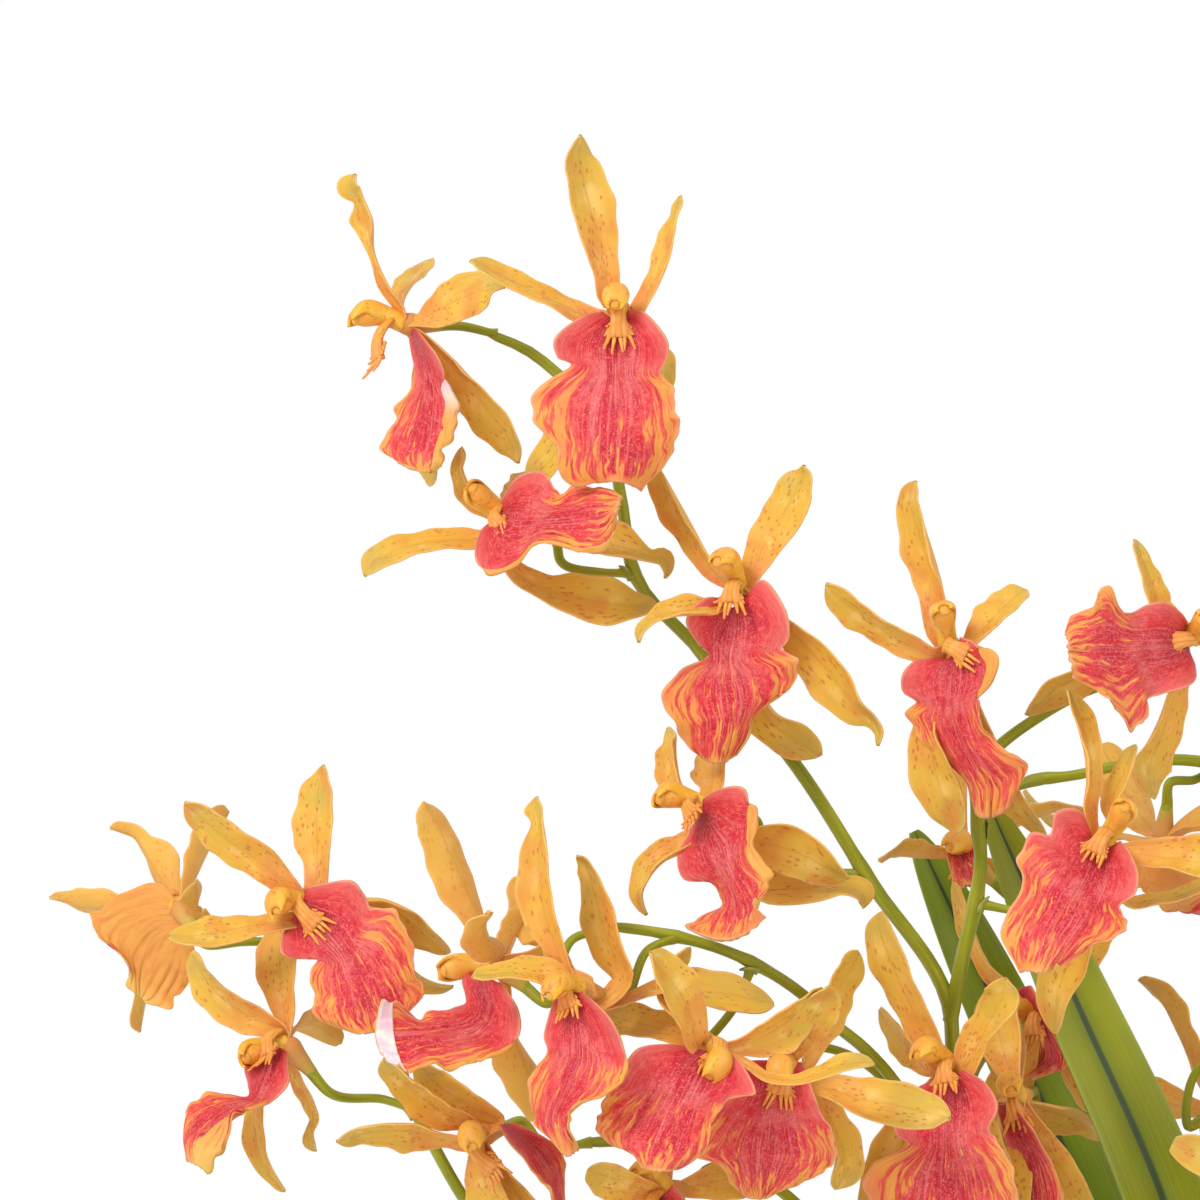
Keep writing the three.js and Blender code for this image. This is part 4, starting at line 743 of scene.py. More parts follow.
def stations_of(route):
    """How far along a route each of its points lies."""
    return np.concatenate([[0], np.cumsum(np.linalg.norm(np.diff(route, axis=0), axis=1))])


def along_route(route, count):
    """Points spaced evenly along a smooth curve through a route."""
    route = np.asarray(route, float)
    stations = stations_of(route)
    return through(stations, route, np.linspace(0, stations[-1], count))


def across_grid(count):
    """Places from one edge to the other, closer together near the edges."""
    return np.sin(np.linspace(-1, 1, count) * math.pi / 2)


# Closed shapes
class Pile:
    """Gathers closed shapes into one mesh. Each point keeps its share across and along its own
    shape with the shape's draw, and whether it is on the inner face: 1 there, 0 on the outer face
    and down to -1 where that is bleached."""

    def __init__(self):
        self.points, self.faces, self.share, self.inner, self.coats = [], [], [], [], []
        self.count = 0

    def add(self, points, faces, share, inner, coat=0):
        self.points.append(points)
        self.faces += [[corner + self.count for corner in face] for face in faces]
        self.share.append(share)
        self.inner.append(inner)
        self.coats += [coat] * len(faces)
        self.count += len(points)

    def piece(self, name, finishes):
        mesh = bpy.data.meshes.new(name)
        mesh.from_pydata((np.concatenate(self.points) * MM).tolist(), [], self.faces)
        share = mesh.attributes.new("share", "FLOAT_VECTOR", "POINT")
        share.data.foreach_set("vector", np.concatenate(self.share).astype(np.float32).ravel())
        inner = mesh.attributes.new("inner", "FLOAT", "POINT")
        inner.data.foreach_set("value", np.concatenate(self.inner).astype(np.float32))
        for finish in finishes:
            mesh.materials.append(finish)
        mesh.polygons.foreach_set("material_index", self.coats)
        mesh.shade_smooth()
        mesh.update()
        piece = bpy.data.objects.new(name, mesh)
        bpy.context.scene.collection.objects.link(piece)
        return piece


def shares(u, v, seed):
    """The share across, the share along and the draw for each point of a grid."""
    grid = np.zeros((len(u), len(v), 3))
    grid[..., 0] = v[None, :]
    grid[..., 1] = u[:, None]
    grid[..., 2] = seed
    return grid.reshape(-1, 3)


def quads(grid):
    """The four-sided faces between neighbours of a grid of point numbers."""
    return np.stack([grid[:-1, :-1], grid[1:, :-1], grid[1:, 1:], grid[:-1, 1:]], -1).reshape(-1, 4)


def add_sheet(pile, points, thickness, u, v, seed, coat=0, bleached=None):
    """A thin closed blade about a grid of points, its inner face where along crosses across."""
    normal = np.cross(np.gradient(points, axis=0), np.gradient(points, axis=1))
    # on the crease of a fold this is nothing, and the blade's mean normal stands in
    crease = np.linalg.norm(normal, axis=-1, keepdims=True) < 1e-9
    normal = unit(np.where(crease, normal.mean(axis=(0, 1)), normal))
    half = (thickness / 2)[..., None] * normal
    both = np.concatenate([(points + half).reshape(-1, 3), (points - half).reshape(-1, 3)])
    behind = points.shape[0] * points.shape[1]
    grid = np.arange(behind).reshape(points.shape[:2])
    front = quads(grid)
    rear = front[:, ::-1] + behind
    rim = np.concatenate([grid[:, 0], grid[-1, 1:], grid[-2::-1, -1], grid[0, -2:0:-1]])
    after = np.roll(rim, -1)
    side = np.stack([after, rim, rim + behind, after + behind], -1)
    faces = np.concatenate([front, rear, side]).tolist()
    share = shares(u, v, seed)
    outer = np.zeros(behind) if bleached is None else -bleached.ravel()
    inner = np.concatenate([np.ones(behind), outer])
    pile.add(both, faces, np.concatenate([share, share]), inner, coat)


def rod_faces(count, sides):
    """The faces of a closed rod of rings, whose two end points come after its rings."""
    grid = np.arange(count * sides).reshape(count, sides)
    following = np.roll(grid, -1, axis=1)
    skin = np.stack([grid[:-1], following[:-1], following[1:], grid[1:]], -1).reshape(-1, 4).tolist()
    start, end = count * sides, count * sides + 1
    skin += [[start, b, a] for a, b in zip(grid[0], following[0])]
    return skin + [[end, a, b] for a, b in zip(grid[-1], following[-1])]


def add_tube(pile, centres, radii, sides, seed, coat=0, squash=1.0, lead=(0.3, 1, 0.2)):
    """A closed round rod through its centres, squashed along the lead direction."""
    centres = np.asarray(centres, float)
    along = unit(np.gradient(centres, axis=0))
    across = np.array([square_to(lead, a) for a in along])
    up = np.cross(along, across)
    angle = np.linspace(0, 2 * math.pi, sides, endpoint=False)
    radii = np.asarray(radii, float)[:, None, None]
    flat = squash * across[:, None] * np.cos(angle)[None, :, None]
    rings = centres[:, None] + radii * (flat + up[:, None] * np.sin(angle)[None, :, None])
    points = np.concatenate([rings.reshape(-1, 3), centres[:1], centres[-1:]])
    round_share = np.abs(np.linspace(-1, 1, sides, endpoint=False))
    share = shares(np.linspace(0, 1, len(centres)), round_share, seed)
    share = np.concatenate([share, [(0, 0, seed), (0, 1, seed)]])
    pile.add(points, rod_faces(len(centres), sides), share, np.ones(len(points)), coat)


# Blooms
def axes_of(looks, hangs):
    """Axes out of a face, up it and to its right."""
    up = -unit(hangs)
    out = square_to(looks, up)
    return out, up, np.cross(up, out)


def tepals_of(bloom, number, axes):
    if "tepals" in bloom:
        return bloom["tepals"]
    out, up, right = axes
    rows = []
    for j, spread in enumerate(TEPAL_SPREADS):
        turn = math.radians(spread + drawn(-9, 9, number, j, 1))
        sweep = math.radians(TEPAL_SWEEPS[j] + drawn(-14, 14, number, j, 2))
        length = TEPAL_LENGTHS[j] + drawn(-3, 2, number, j, 3)
        flat = math.cos(turn) * up + math.sin(turn) * right
        tip = length * (math.cos(sweep) * flat + math.sin(sweep) * out)
        rows.append((*tip, drawn(-3, 3, number, j, 5), drawn(-40, 40, number, j, 6)))
    return rows


def tepal_fullness(u):
    """How wide a tepal is along its length, as a share of its full width."""
    claw = 0.34 + 0.66 * smooth((u - 0.04) / 0.5)
    end = np.sqrt(np.clip(1 - np.clip((u - 0.6) / 0.42, 0, 1) ** 2.6, 0, 1))
    return claw * np.maximum(0.05, end)


def plain_tepal(row, out, number, j, u):
    """The midline, side, face and half width of a tepal given by its tip."""
    x, y, z, sway, turn = row
    tip = np.array([x, y, z], float)
    along = unit(tip)
    face = square_to(out, along)
    side = np.cross(face, along)
    left = square_to(np.cross((0, -1, 0), along), along)
    arch = 4 * u * (1 - u)
    end = np.clip((u - 0.7) / 0.3, 0, None) ** 2
    bow = drawn(-2, 3, number, j, 4) * arch + drawn(-7, 3, number, j, 7) * end
    middle = tip * u[:, None] + face * bow[:, None]
    middle = middle + left * (sway * arch)[:, None]
    angle = math.radians(turn) * smooth(u / 0.5) + math.radians(drawn(-30, 30, number, j, 11)) * end
    angle = angle[:, None]
    half = 0.92 * TEPAL_WIDTHS[j] / 2 * tepal_fullness(u)
    across = side * np.cos(angle) + face * np.sin(angle)
    return middle, across, face * np.cos(angle) - side * np.sin(angle), half


def placed_tepal(row, out, number, j, u):
    """The same for a tepal given by places along it. Where it looks slimmer there than such a
    tepal is, it is turned partly edge on."""
    depth, places = row
    places = np.array([(0, 0, min(2.4, places[0][2])), *places], float)
    places[-1, 2] = max(places[-1, 2], 0.5 * places[-2, 2])
    stations = stations_of(places[:, :2])
    x, z, wide = through(stations / stations[-1], places, np.clip(u, 0, 1)).T
    bow = drawn(-1.5, 2, number, j, 4) * 4 * u * (1 - u)
    middle = np.stack([x, depth * u - bow, z], -1)
    along = unit(np.gradient(middle, axis=0))
    toward = np.array([0, -1 if out[1] < 0 else 1, 0], float)
    side = unit(np.cross(toward, along))
    face = np.cross(along, side)
    seen = np.maximum(wide, 0.7) / 2
    full = TEPAL_WIDTHS[j] / 2 * tepal_fullness(np.clip(u, 0, 0.97))
    tilt = np.arccos(seen / np.clip(full, seen, 1.7 * seen))
    tilt = np.convolve(np.pad(tilt, 3, mode="edge"), np.ones(7) / 7, mode="valid")
    lean = 1 if np.dot(side[len(u) // 2], out) > 0 else -1
    end = np.sqrt(np.clip(1 - (np.clip(u - 0.93, 0, None) / 0.071) ** 2, 0.002, 1))
    half = seen / np.cos(tilt) * end
    cosine, sine = np.cos(tilt)[:, None], lean * np.sin(tilt)[:, None]
    return middle, side * cosine - face * sine, face * cosine + side * sine, half


def add_tepal(pile, heart, row, out, number, j):
    """A strap-shaped tepal, channelled and waved."""
    channel = drawn(0.16, 0.36, number, j, 8)
    roll = drawn(-0.1, 0.4, number, j, 9)
    phase = 6.3 * draw(number, j, 10)
    u = np.sin(np.linspace(0, math.pi / 2, TEPAL_GRID[0])) ** 0.9
    v = across_grid(TEPAL_GRID[1])
    shape = plain_tepal if len(row) == 5 else placed_tepal
    middle, across, normal, half = shape(row, out, number, j, u)
    spread, far_along = np.abs(v)[None, :], u[:, None]
    uneven = np.sin(11 * far_along + phase + 2 * np.sign(v)[None, :])
    uneven = uneven + 0.5 * np.sin(31 * far_along + 3 * phase + v)
    half = half[:, None] * (1 + 0.035 * uneven)
    belly = bell(u, 0.5, 0.28)[:, None]
    lift = half * (channel * spread ** 1.5 + roll * belly * spread ** 4 + 0.09 * uneven * spread ** 3)
    keel = 0.22 * bell(v, 0, 0.16)[None, :] * smooth(u / 0.2)[:, None]
    points = heart + middle[:, None] + across[:, None] * (half * v[None, :])[..., None]
    points = points + normal[:, None] * (lift - keel)[..., None]
    swell = (TEPAL_THICKNESS - EDGE_THICKNESS) * (1 - spread ** 2)
    add_sheet(pile, points, EDGE_THICKNESS + swell * np.ones((len(u), 1)), u, v, draw(number, j, 12))


def reach_to(offset, length, out):
    """A tip seen right and up from the heart, with the depth that its length leaves."""
    x, z = offset
    depth = math.sqrt(max(length ** 2 - x * x - z * z, 0.04 * length ** 2))
    return np.array([x, -depth if out[1] < 0 else depth, z])


def add_column(pile, heart, axes, number, offset):
    """The bonnet over the lip, with the anther's cap under its brim."""
    out, up, right = axes
    tip = COLUMN_LENGTH * unit(0.78 * out + 0.6 * up)
    if offset:
        tip = reach_to(offset, COLUMN_LENGTH, out)
    lean = unit(tip)
    over = square_to(up - 0.35 * out, lean)
    right = np.cross(over, lean)
    t = np.linspace(0, 1, 19)
    bend = 1.5 * np.sin(math.pi * t) - 2.2 * np.clip(t - 0.7, 0, None) ** 2 / 0.09
    spine = heart + tip * t[:, None] + over * bend[:, None]
    radius = through((0, 0.35, 0.7, 0.9, 1), (2.1, 2.3, 3.0, 2.7, 1.6), t)
    v = np.linspace(-1, 1, 21)
    opening = math.radians(172) - math.radians(52) * smooth((t - 0.4) / 0.4)
    angle = v[None, :] * opening[:, None]
    flare = 1 + 0.06 * bell(t, 0.7, 0.16)[:, None] * np.abs(v)[None, :] ** 4
    reach = radius[:, None] * flare
    points = spine[:, None] + (reach * np.cos(angle))[..., None] * over
    points = points + (reach * np.sin(angle))[..., None] * -right
    thickness = 0.55 + 0.4 * (1 - np.abs(v))[None, :] * np.ones((len(t), 1))
    add_sheet(pile, points, thickness, t, v, draw(number, 7, 1), 1)
    core = np.linspace(0, 0.93, 12)
    sag = 1.1 * np.sin(math.pi * core) - 0.5 - 1.2 * core ** 4
    middle = heart + tip * core[:, None] + over * sag[:, None]
    swell = through((0, 0.4, 0.66, 0.8, 0.93), (1.9, 2.1, 2.75, 2.6, 1.7), core)
    add_tube(pile, middle, swell, 14, draw(number, 7, 2), 1, 0.92, over)
    cap = np.linspace(-1, 1, 9)
    lobe = heart + tip * (0.88 + 0.09 * cap)[:, None] - over * 1.0
    add_tube(pile, lobe, 0.3 + 1.55 * np.sqrt(1 - 0.98 * cap ** 2), 12, draw(number, 7, 3), 1)


def add_crest(pile, heart, axes, number, offset):
    """The ribbed tongue under the column, ending in a fringe of fingers."""
    out, up, right = axes
    tip = CREST_LENGTH * (0.8 * out - 0.6 * up)
    if offset:
        tip = reach_to(offset, CREST_LENGTH, out)
        tip[1] = -max(8.4, -tip[1]) if out[1] < 0 else max(8.4, tip[1])
    root = 3.2 * out + 0.4 * up
    forward = unit(tip - root)
    reach = 0.7 * np.linalg.norm(tip - root)
    over = square_to(out + 0.15 * up, forward)
    right = np.cross(forward, over)
    root = root + heart
    u = np.linspace(0, 1, 14)
    v = np.linspace(-1, 1, 21)
    half = through((0, 0.4, 0.75, 1), (2.1, 1.8, 2.4, 3.3), u)
    rib = 0.34 * np.cos(4 * math.pi * v)[None, :] * smooth(u / 0.3)[:, None]
    dome = 1.0 * (1 - v ** 2)[None, :] + rib + (1.6 * np.sin(math.pi * u) - 0.3 * u ** 2)[:, None]
    points = root + forward * (reach * u)[:, None, None] + right * (half[:, None] * v)[..., None]
    points = points + over * dome[..., None]
    add_sheet(pile, points, np.full(dome.shape, 1.1), u, v, draw(number, 8, 1), 2)
    fingers = [(1.0, a) for a in (-0.9, -0.5, -0.08, 0.36, 0.8)]
    fingers += [(w, s) for w in (0.9, 0.78, 0.66) for s in (-1, 1)]
    t = np.linspace(0, 1, 6)
    for k, (where, side) in enumerate(fingers):
        width = np.interp(where, u, half)
        start = root + forward * reach * (where - 0.06) + right * width * side * 0.86 + over * 0.5
        turn = (0.32 if where == 1 else 1.0) * side + drawn(-0.2, 0.2, number, k, 13)
        length = drawn(3.4, 5.4, number, k, 14) * (1 if where == 1 else 0.42)
        way = unit(forward + right * turn)
        curl = 0.9 * t ** 2 * drawn(-0.6, 1.4, number, k, 15)
        curve = start + way * (length * t)[:, None] + over * curl[:, None]
        add_tube(pile, curve, 0.62 - 0.36 * t, 7, draw(number, k, 16), 2)


def add_sleeve(pile, heart, out, number):
    """The sleeve behind a bloom, between its tepals and its stalk."""
    t = np.linspace(0, 1, 12)
    centres = heart + out * (1.2 - (SLEEVE_LENGTH + 2.0) * t)[:, None]
    radii = through((0, 0.2, 0.45, 0.9, 1), (2.0, 3.0, 2.5, 1.6, 1.4), t)
    add_tube(pile, centres, radii, 12, draw(number, 9, 3), 3)


def rosette(name, finishes):
    bloom = BLOOMS[name]
    number = list(BLOOMS).index(name)
    heart = np.array(bloom["heart"], float)
    axes = axes_of(bloom["looks"], bloom["hangs"])
    pile = Pile()
    for j, row in enumerate(tepals_of(bloom, number, axes)):
        add_tepal(pile, heart, row, axes[0], number, j)
    add_column(pile, heart, axes, number, bloom.get("column"))
    add_crest(pile, heart, axes, number, bloom.get("crest"))
    add_sleeve(pile, heart, axes[0], number)
    return pile.piece(f"rosette_{name}", finishes)


def folded(share, turn, back):
    """A share along a sheet that turns back on itself: where it lies, and how far past the fold."""
    past = np.clip((share - turn) / (1 - turn), 0, 1)
    return np.where(share < turn, share / turn, 1 - back * past), past


def apron_share(a):
    """0 over the side lobes, 1 over the apron."""
    return smooth((a - 0.3) / 0.35)


def rolled_edge(bloom, a, v, p, past_end):
    """The shares across after an edge folds over the face, with how far the folds lift it and how
    bleached its outer side is."""
    lift = 1.5 * np.sqrt(past_end)[:, None] * np.ones_like(p)
    bleached = np.zeros_like(p)
    if "roll" in bloom:
        side, turn, back, start, stop, pale = bloom["roll"]
        rolled, past = folded(np.abs(p), turn, back)
        here = smooth((a - start) / 0.1) * smooth((stop + 0.04 - a) / 0.1) * (side * v > 0)
        p = np.where(side * v > 0, side * (np.abs(p) * (1 - here) + rolled * here), p)
        lift = lift + 1.3 * here * np.sqrt(past)
        bleached = pale * here * (side * v > 0) * smooth((0.62 - a) / 0.3)
    return p, lift, np.maximum(bleached, (past_end > 0)[:, None] * 1.0)


def lip_relief(a, p, half, phase, pace):
    """How far keels, ribs, pleats and the frilled edge stand out of the face."""
    spread = np.abs(p)
    flow = p * (1.6 - 0.9 * a)
    pleats = 0.24 * np.sin(26 * flow + phase) * smooth((a - 0.3) / 0.3) * smooth((0.25 + spread) / 0.5)
    keels = bell(spread * half, 1.6, 0.7) + 0.6 * bell(p * half, 0, 0.6)
    keels = keels * smooth((a - 0.14) / 0.1) * smooth((0.62 - a) / 0.25)
    ribs = pleats + 0.5 * keels + 0.13 * np.cos(34 * flow) * smooth((a - 0.2) / 0.2)
    ruffle = np.sin(9 * a * pace + phase) + 0.35 * np.sin(23 * a * pace + 3 * phase)
    apron = apron_share(a)
    frill = 1.9 * apron * ruffle * spread ** 3
    return ribs + (frill + 0.5 * np.sin(40 * a * pace + phase) * spread ** 6 * apron)


def lip(name, finishes):
    """The broad lip: side lobes, a waist and a waved apron, ribbed down its middle."""
    bloom = BLOOMS[name]
    number = list(BLOOMS).index(name)
    out, up, right = axes_of(bloom.get("lip_looks", bloom["looks"]), bloom["hangs"])
    u = np.linspace(0.015, 1, LIP_GRID[0])
    v = 0.55 * across_grid(LIP_GRID[1]) + 0.45 * np.linspace(-1, 1, LIP_GRID[1])
    along, past_end = folded(u, *bloom["tip"]) if "tip" in bloom else (u, 0 * u)
    half = (through(LIP_STATIONS, LIP_HALF, along) * bloom.get("slim", 1))[:, None]
    a, v2 = along[:, None], v[None, :]
    phase = 6 * np.where(v2 < 0, draw(number, 9, 1), draw(number, 9, 2))
    pace = np.where(v2 < 0, 1, 1.25)
    scallop = np.sin(27 * a * pace + 5 * phase) + 0.6 * np.sin(61 * a * pace + phase)
    p = v2 * (1 + 0.022 * scallop * smooth((a - 0.25) / 0.2) * np.abs(v2) ** 3)
    p, lift, bleached = rolled_edge(bloom, a, v2, p, past_end)
    dip = 10 * np.clip(a - 0.75, 0, None)
    forward = lift + 3.6 + 3 * np.sin(math.pi * a) - dip + bloom["reach"] * a ** 2
    forward = forward + p ** 2 * (5 * bell(a, 0.17, 0.1) - 3.5 * apron_share(a))
    forward = forward + 1.3 * np.sin(5.5 * p + phase) * a ** 9
    height = 0.3 - LIP_LENGTH * a + 2.6 * p ** 2 * np.clip(1 - a / 0.2, 0, None)
    if "lip" in bloom:
        rows = through(LIP_ROWS, bloom["lip"], along)
        left, middle, far = (rows[:, None, k:k + 2] for k in (0, 2, 4))
        p3 = p[..., None]
        seen = middle + p3 * (far - left) / 2 + p3 ** 2 * ((left + far) / 2 - middle)
        depth = up[1] * height + right[1] * half * p + out[1] * forward
        base = np.stack([seen[..., 0], depth * bloom.get("shallow", 1), seen[..., 1]], -1)
    else:
        base = up * height[..., None] + right * (half * p)[..., None] + out * forward[..., None]
    relief = bloom.get("ribbing", 1) * lip_relief(a, p, half, phase, pace)
    points = np.array(bloom["heart"], float) + base + out * relief[..., None]
    swell = (LIP_THICKNESS - EDGE_THICKNESS) * (1 - np.abs(v2) ** 3)
    pile = Pile()
    thickness = EDGE_THICKNESS + swell * np.ones_like(a)
    add_sheet(pile, points, thickness, u, v, draw(number, 9, 4), 0, bleached)
    return pile.piece(f"labellum_{name}", finishes)


# Geometry Nodes
class Tree:
    """A Geometry Nodes tree with named inputs, wired by short calls."""

    def __init__(self, name, **inputs):
        self.group = bpy.data.node_groups.new(name, "GeometryNodeTree")
        self.group.interface.new_socket("Geometry", in_out="OUTPUT", socket_type="NodeSocketGeometry")
        self.group.interface.new_socket("Geometry", in_out="INPUT", socket_type="NodeSocketGeometry")
        self.values = inputs
        for label, value in inputs.items():
            kind = "NodeSocketInt" if isinstance(value, int) else "NodeSocketFloat"
            if isinstance(value, bpy.types.Material):
                kind = "NodeSocketMaterial"
            self.group.interface.new_socket(label, in_out="INPUT", socket_type=kind)
        self.source = self.group.nodes.new("NodeGroupInput").outputs

    def node(self, kind, inputs=None, **settings):
        node = self.group.nodes.new(kind)
        for key, value in settings.items():
            setattr(node, key, value)
        for key, value in (inputs or {}).items():
            if isinstance(value, bpy.types.NodeSocket):
                self.group.links.new(value, node.inputs[key])
            else:
                node.inputs[key].default_value = value
        return node

    def math(self, operation, a, b=0.0):
        return self.node("ShaderNodeMath", {0: a, 1: b}, operation=operation).outputs[0]

    def store(self, name, geometry, value):
        """The geometry with a value stored at each point."""
        inputs = {"Geometry": geometry, "Name": name, "Value": value}
        stored = self.node("GeometryNodeStoreNamedAttribute", inputs, data_type="FLOAT", domain="POINT")
        return stored.outputs[0]

    def end(self, geometry, finish):
        """Realizes the copies, sets their finish and closes the tree."""
        real = self.node("GeometryNodeRealizeInstances", {"Geometry": geometry})
        coated = self.node("GeometryNodeSetMaterial", {"Geometry": real.outputs[0], "Material": finish})
        self.node("NodeGroupOutput", {"Geometry": coated.outputs[0]})

    def grow(self, name, source):
        """Runs the tree on a source object and returns a plain mesh piece."""
        modifier = source.modifiers.new(self.group.name, "NODES")
        modifier.node_group = self.group
        for socket in self.group.interface.items_tree:
            if socket.in_out == "INPUT" and socket.name in self.values:
                modifier[socket.identifier] = self.values[socket.name]
        graph = bpy.context.evaluated_depsgraph_get()
        mesh = bpy.data.meshes.new_from_object(source.evaluated_get(graph), depsgraph=graph)
        source.modifiers.remove(modifier)
        bpy.data.objects.remove(source)
        mesh.name = name
        piece = bpy.data.objects.new(name, mesh)
        bpy.context.scene.collection.objects.link(piece)
        return piece


def stem_tree(finish):
    """Round green stems along curves, faintly ridged, with the distance along them stored."""
    tree = Tree("Stem", Sides=14, Ridges=5, Depth=0.05, Finish=finish)
    length = tree.node("GeometryNodeSplineParameter").outputs["Length"]
    marked = tree.store("distance", tree.source["Geometry"], length)
    circle = tree.node("GeometryNodeCurvePrimitiveCircle", {
        "Resolution": tree.source["Sides"], "Radius": 1.0,
    })
    factor = tree.node("GeometryNodeSplineParameter").outputs["Factor"]
    ring = tree.store("around", circle.outputs["Curve"], factor)
    turn = tree.math("MULTIPLY", factor, 2 * math.pi)
    swell = tree.math("COSINE", tree.math("MULTIPLY", turn, tree.source["Ridges"]))
    depth = tree.math("MULTIPLY", swell, tree.source["Depth"])
    place = tree.node("GeometryNodeInputPosition").outputs[0]
    push = tree.node("ShaderNodeVectorMath", {0: place, "Scale": depth}, operation="SCALE").outputs[0]
    ridged = tree.node("GeometryNodeSetPosition", {"Geometry": ring, "Offset": push})
    inputs = {"Curve": marked, "Profile Curve": ridged.outputs[0], "Fill Caps": True}
    skin = tree.node("GeometryNodeCurveToMesh", inputs)
    if "Scale" in skin.inputs:
        tree.group.links.new(tree.node("GeometryNodeInputRadius").outputs[0], skin.inputs["Scale"])
    soft = tree.node("GeometryNodeSetShadeSmooth", {"Geometry": skin.outputs[0], "Shade Smooth": True})
    tree.end(soft.outputs[0], tree.source["Finish"])
    return tree


def spray_curves(letter):
    """A curve object with a spline for each stem and stalk, thicker where a stalk leaves."""
    spray = SPRAYS[letter]
    curve = bpy.data.curves.new(f"spray_{letter}", "CURVE")
    curve.dimensions = "3D"
    knots = [np.array(route[0], float) for route in spray["stalks"].values()]

    def spline(points, radii):
        line = curve.splines.new("POLY")
        line.points.add(len(points) - 1)
        for point, place, radius in zip(line.points, points * MM, radii):
            point.co = (*place, 1)
            point.radius = radius * MM

    for radii, route in spray["stems"]:
        points = along_route(route, STEM_POINTS)
        thick = STEM_SLIMMING * np.linspace(radii[0], radii[1], STEM_POINTS)
        for knot in knots:
            thick = thick + 0.35 * bell(np.linalg.norm(points - knot, axis=1), 0, 3)
        thick[-3:] *= (0.9, 0.7, 0.3)
        spline(points, thick)
    for name, route in spray["stalks"].items():
        bloom = BLOOMS[name]
        out = axes_of(bloom["looks"], bloom["hangs"])[0]
        heart = np.array(bloom["heart"], float)
        end = [heart - 16 * out, heart - (SLEEVE_LENGTH - 0.5) * out]
        t = np.linspace(0, 1, STALK_POINTS)
        thick = 1.0 + 0.3 * t + 0.5 * bell(t, 0, 0.08) + 0.2 * bell(t, 1, 0.12)
        spline(along_route([*route, *end], STALK_POINTS), thick)
    source = bpy.data.objects.new(f"spray_{letter}", curve)
    bpy.context.scene.collection.objects.link(source)
    return source


def bracts(letter, finishes):
    """The papery scale under each stalk, wrapped round the stem."""
    spray = SPRAYS[letter]
    pile = Pile()
    lines = [along_route(route, 400) for _, route in spray["stems"]]
    u = np.linspace(0, 1, 8)
    v = np.linspace(-1, 1, 9)
    turn = v[None, :] * (1.1 * np.sqrt(1 - u ** 2.2) + 0.05)[:, None]
    reach = 2.25 + 0.9 * (u ** 2)[:, None]
    for name, route in spray["stalks"].items():
        knot = np.array(route[0], float)
        line = min(lines, key=lambda points: np.linalg.norm(points - knot, axis=1).min())
        i = int(np.clip(np.argmin(np.linalg.norm(line - knot, axis=1)), 2, len(line) - 3))
        if i > 0.94 * len(line):
            continue
        along = unit(line[i + 2] - line[i - 2])
        toward = np.array(route[1] if len(route) > 1 else BLOOMS[name]["heart"]) - knot
        away = square_to(toward, along)
        side = np.cross(away, along)
        points = line[i] + along * (-2.0 + 4.4 * u)[:, None, None]
        points = points + away * (reach * np.cos(turn))[..., None]
        points = points + side * (reach * np.sin(turn))[..., None]
        add_sheet(pile, points, np.full(turn.shape, 0.35), u, v, draw(i, 1, 1))
    return pile.piece(f"bracts_{letter}", finishes)


# Leaves, pot and bark
def blade(name, finishes):
    """A strap leaf with a sharp groove down its face."""
    looks, route = LEAVES[name]
    u = np.sin(np.linspace(0, math.pi / 2, LEAF_GRID[0]))
    v = across_grid(LEAF_GRID[1])
    route = np.asarray(route, float)
    stations = stations_of(route)
    middle = through(stations / stations[-1], route, u)
    along = unit(np.gradient(middle, axis=0))
    face = np.array([square_to(looks, a) for a in along])
    side = np.cross(face, along)
    end = np.sqrt(np.clip(1 - (np.clip(u - 0.68, 0, None) / 0.322) ** 2.0, 0.0004, 1))
    half = (LEAF_WIDTH / 2 * (0.62 + 0.38 * smooth(u / 0.45)) * end)[:, None]
    spread = np.abs(v)[None, :]
    lift = half * (0.34 * spread - 0.1 * spread ** 3)
    lift = lift + 0.25 * np.sin(24 * u[:, None] + 2 * v[None, :]) * spread ** 3
    points = middle[:, None] + side[:, None] * (half * v[None, :])[..., None]
    points = points + face[:, None] * lift[..., None]
    thickness = 0.7 + (LEAF_THICKNESS - 0.7) * (1 - spread) ** 0.8 * (1 - 0.6 * u[:, None])
    pile = Pile()
    add_sheet(pile, points, thickness, u, v, LEAF_GREENS.get(name, 0.4))
    return pile.piece(name.replace("leaf", "blade"), finishes)


def lathe(name, profile, sides, finishes):
    """A closed turned solid about Z from its profile of radius and height, foot first."""
    profile = np.asarray(profile, float)
    angle = np.linspace(0, 2 * math.pi, sides, endpoint=False)
    rings = np.stack([
        profile[:, :1] * np.cos(angle), profile[:, :1] * np.sin(angle), profile[:, 1:] * np.ones(sides),
    ], -1)
    points = np.concatenate([rings.reshape(-1, 3), [(0, 0, profile[0, 1]), (0, 0, profile[-1, 1])]])
    pile = Pile()
    pile.add(points, rod_faces(len(profile), sides), np.zeros_like(points), np.ones(len(points)))
    return pile.piece(name, finishes)


def rounded(corners, radius, steps=5):
    """A profile with each inner corner rounded by a short arc."""
    corners = np.asarray(corners, float)
    points = [corners[0]]
    for before, corner, after in zip(corners, corners[1:], corners[2:]):
        reach = min(radius, 0.45 * np.linalg.norm(before - corner), 0.45 * np.linalg.norm(after - corner))
        start = corner + reach * unit(before - corner)
        end = corner + reach * unit(after - corner)
        for t in np.linspace(0, 1, steps):
            points.append((1 - t) ** 2 * start + 2 * t * (1 - t) * corner + t * t * end)
    points.append(corners[-1])
    return points


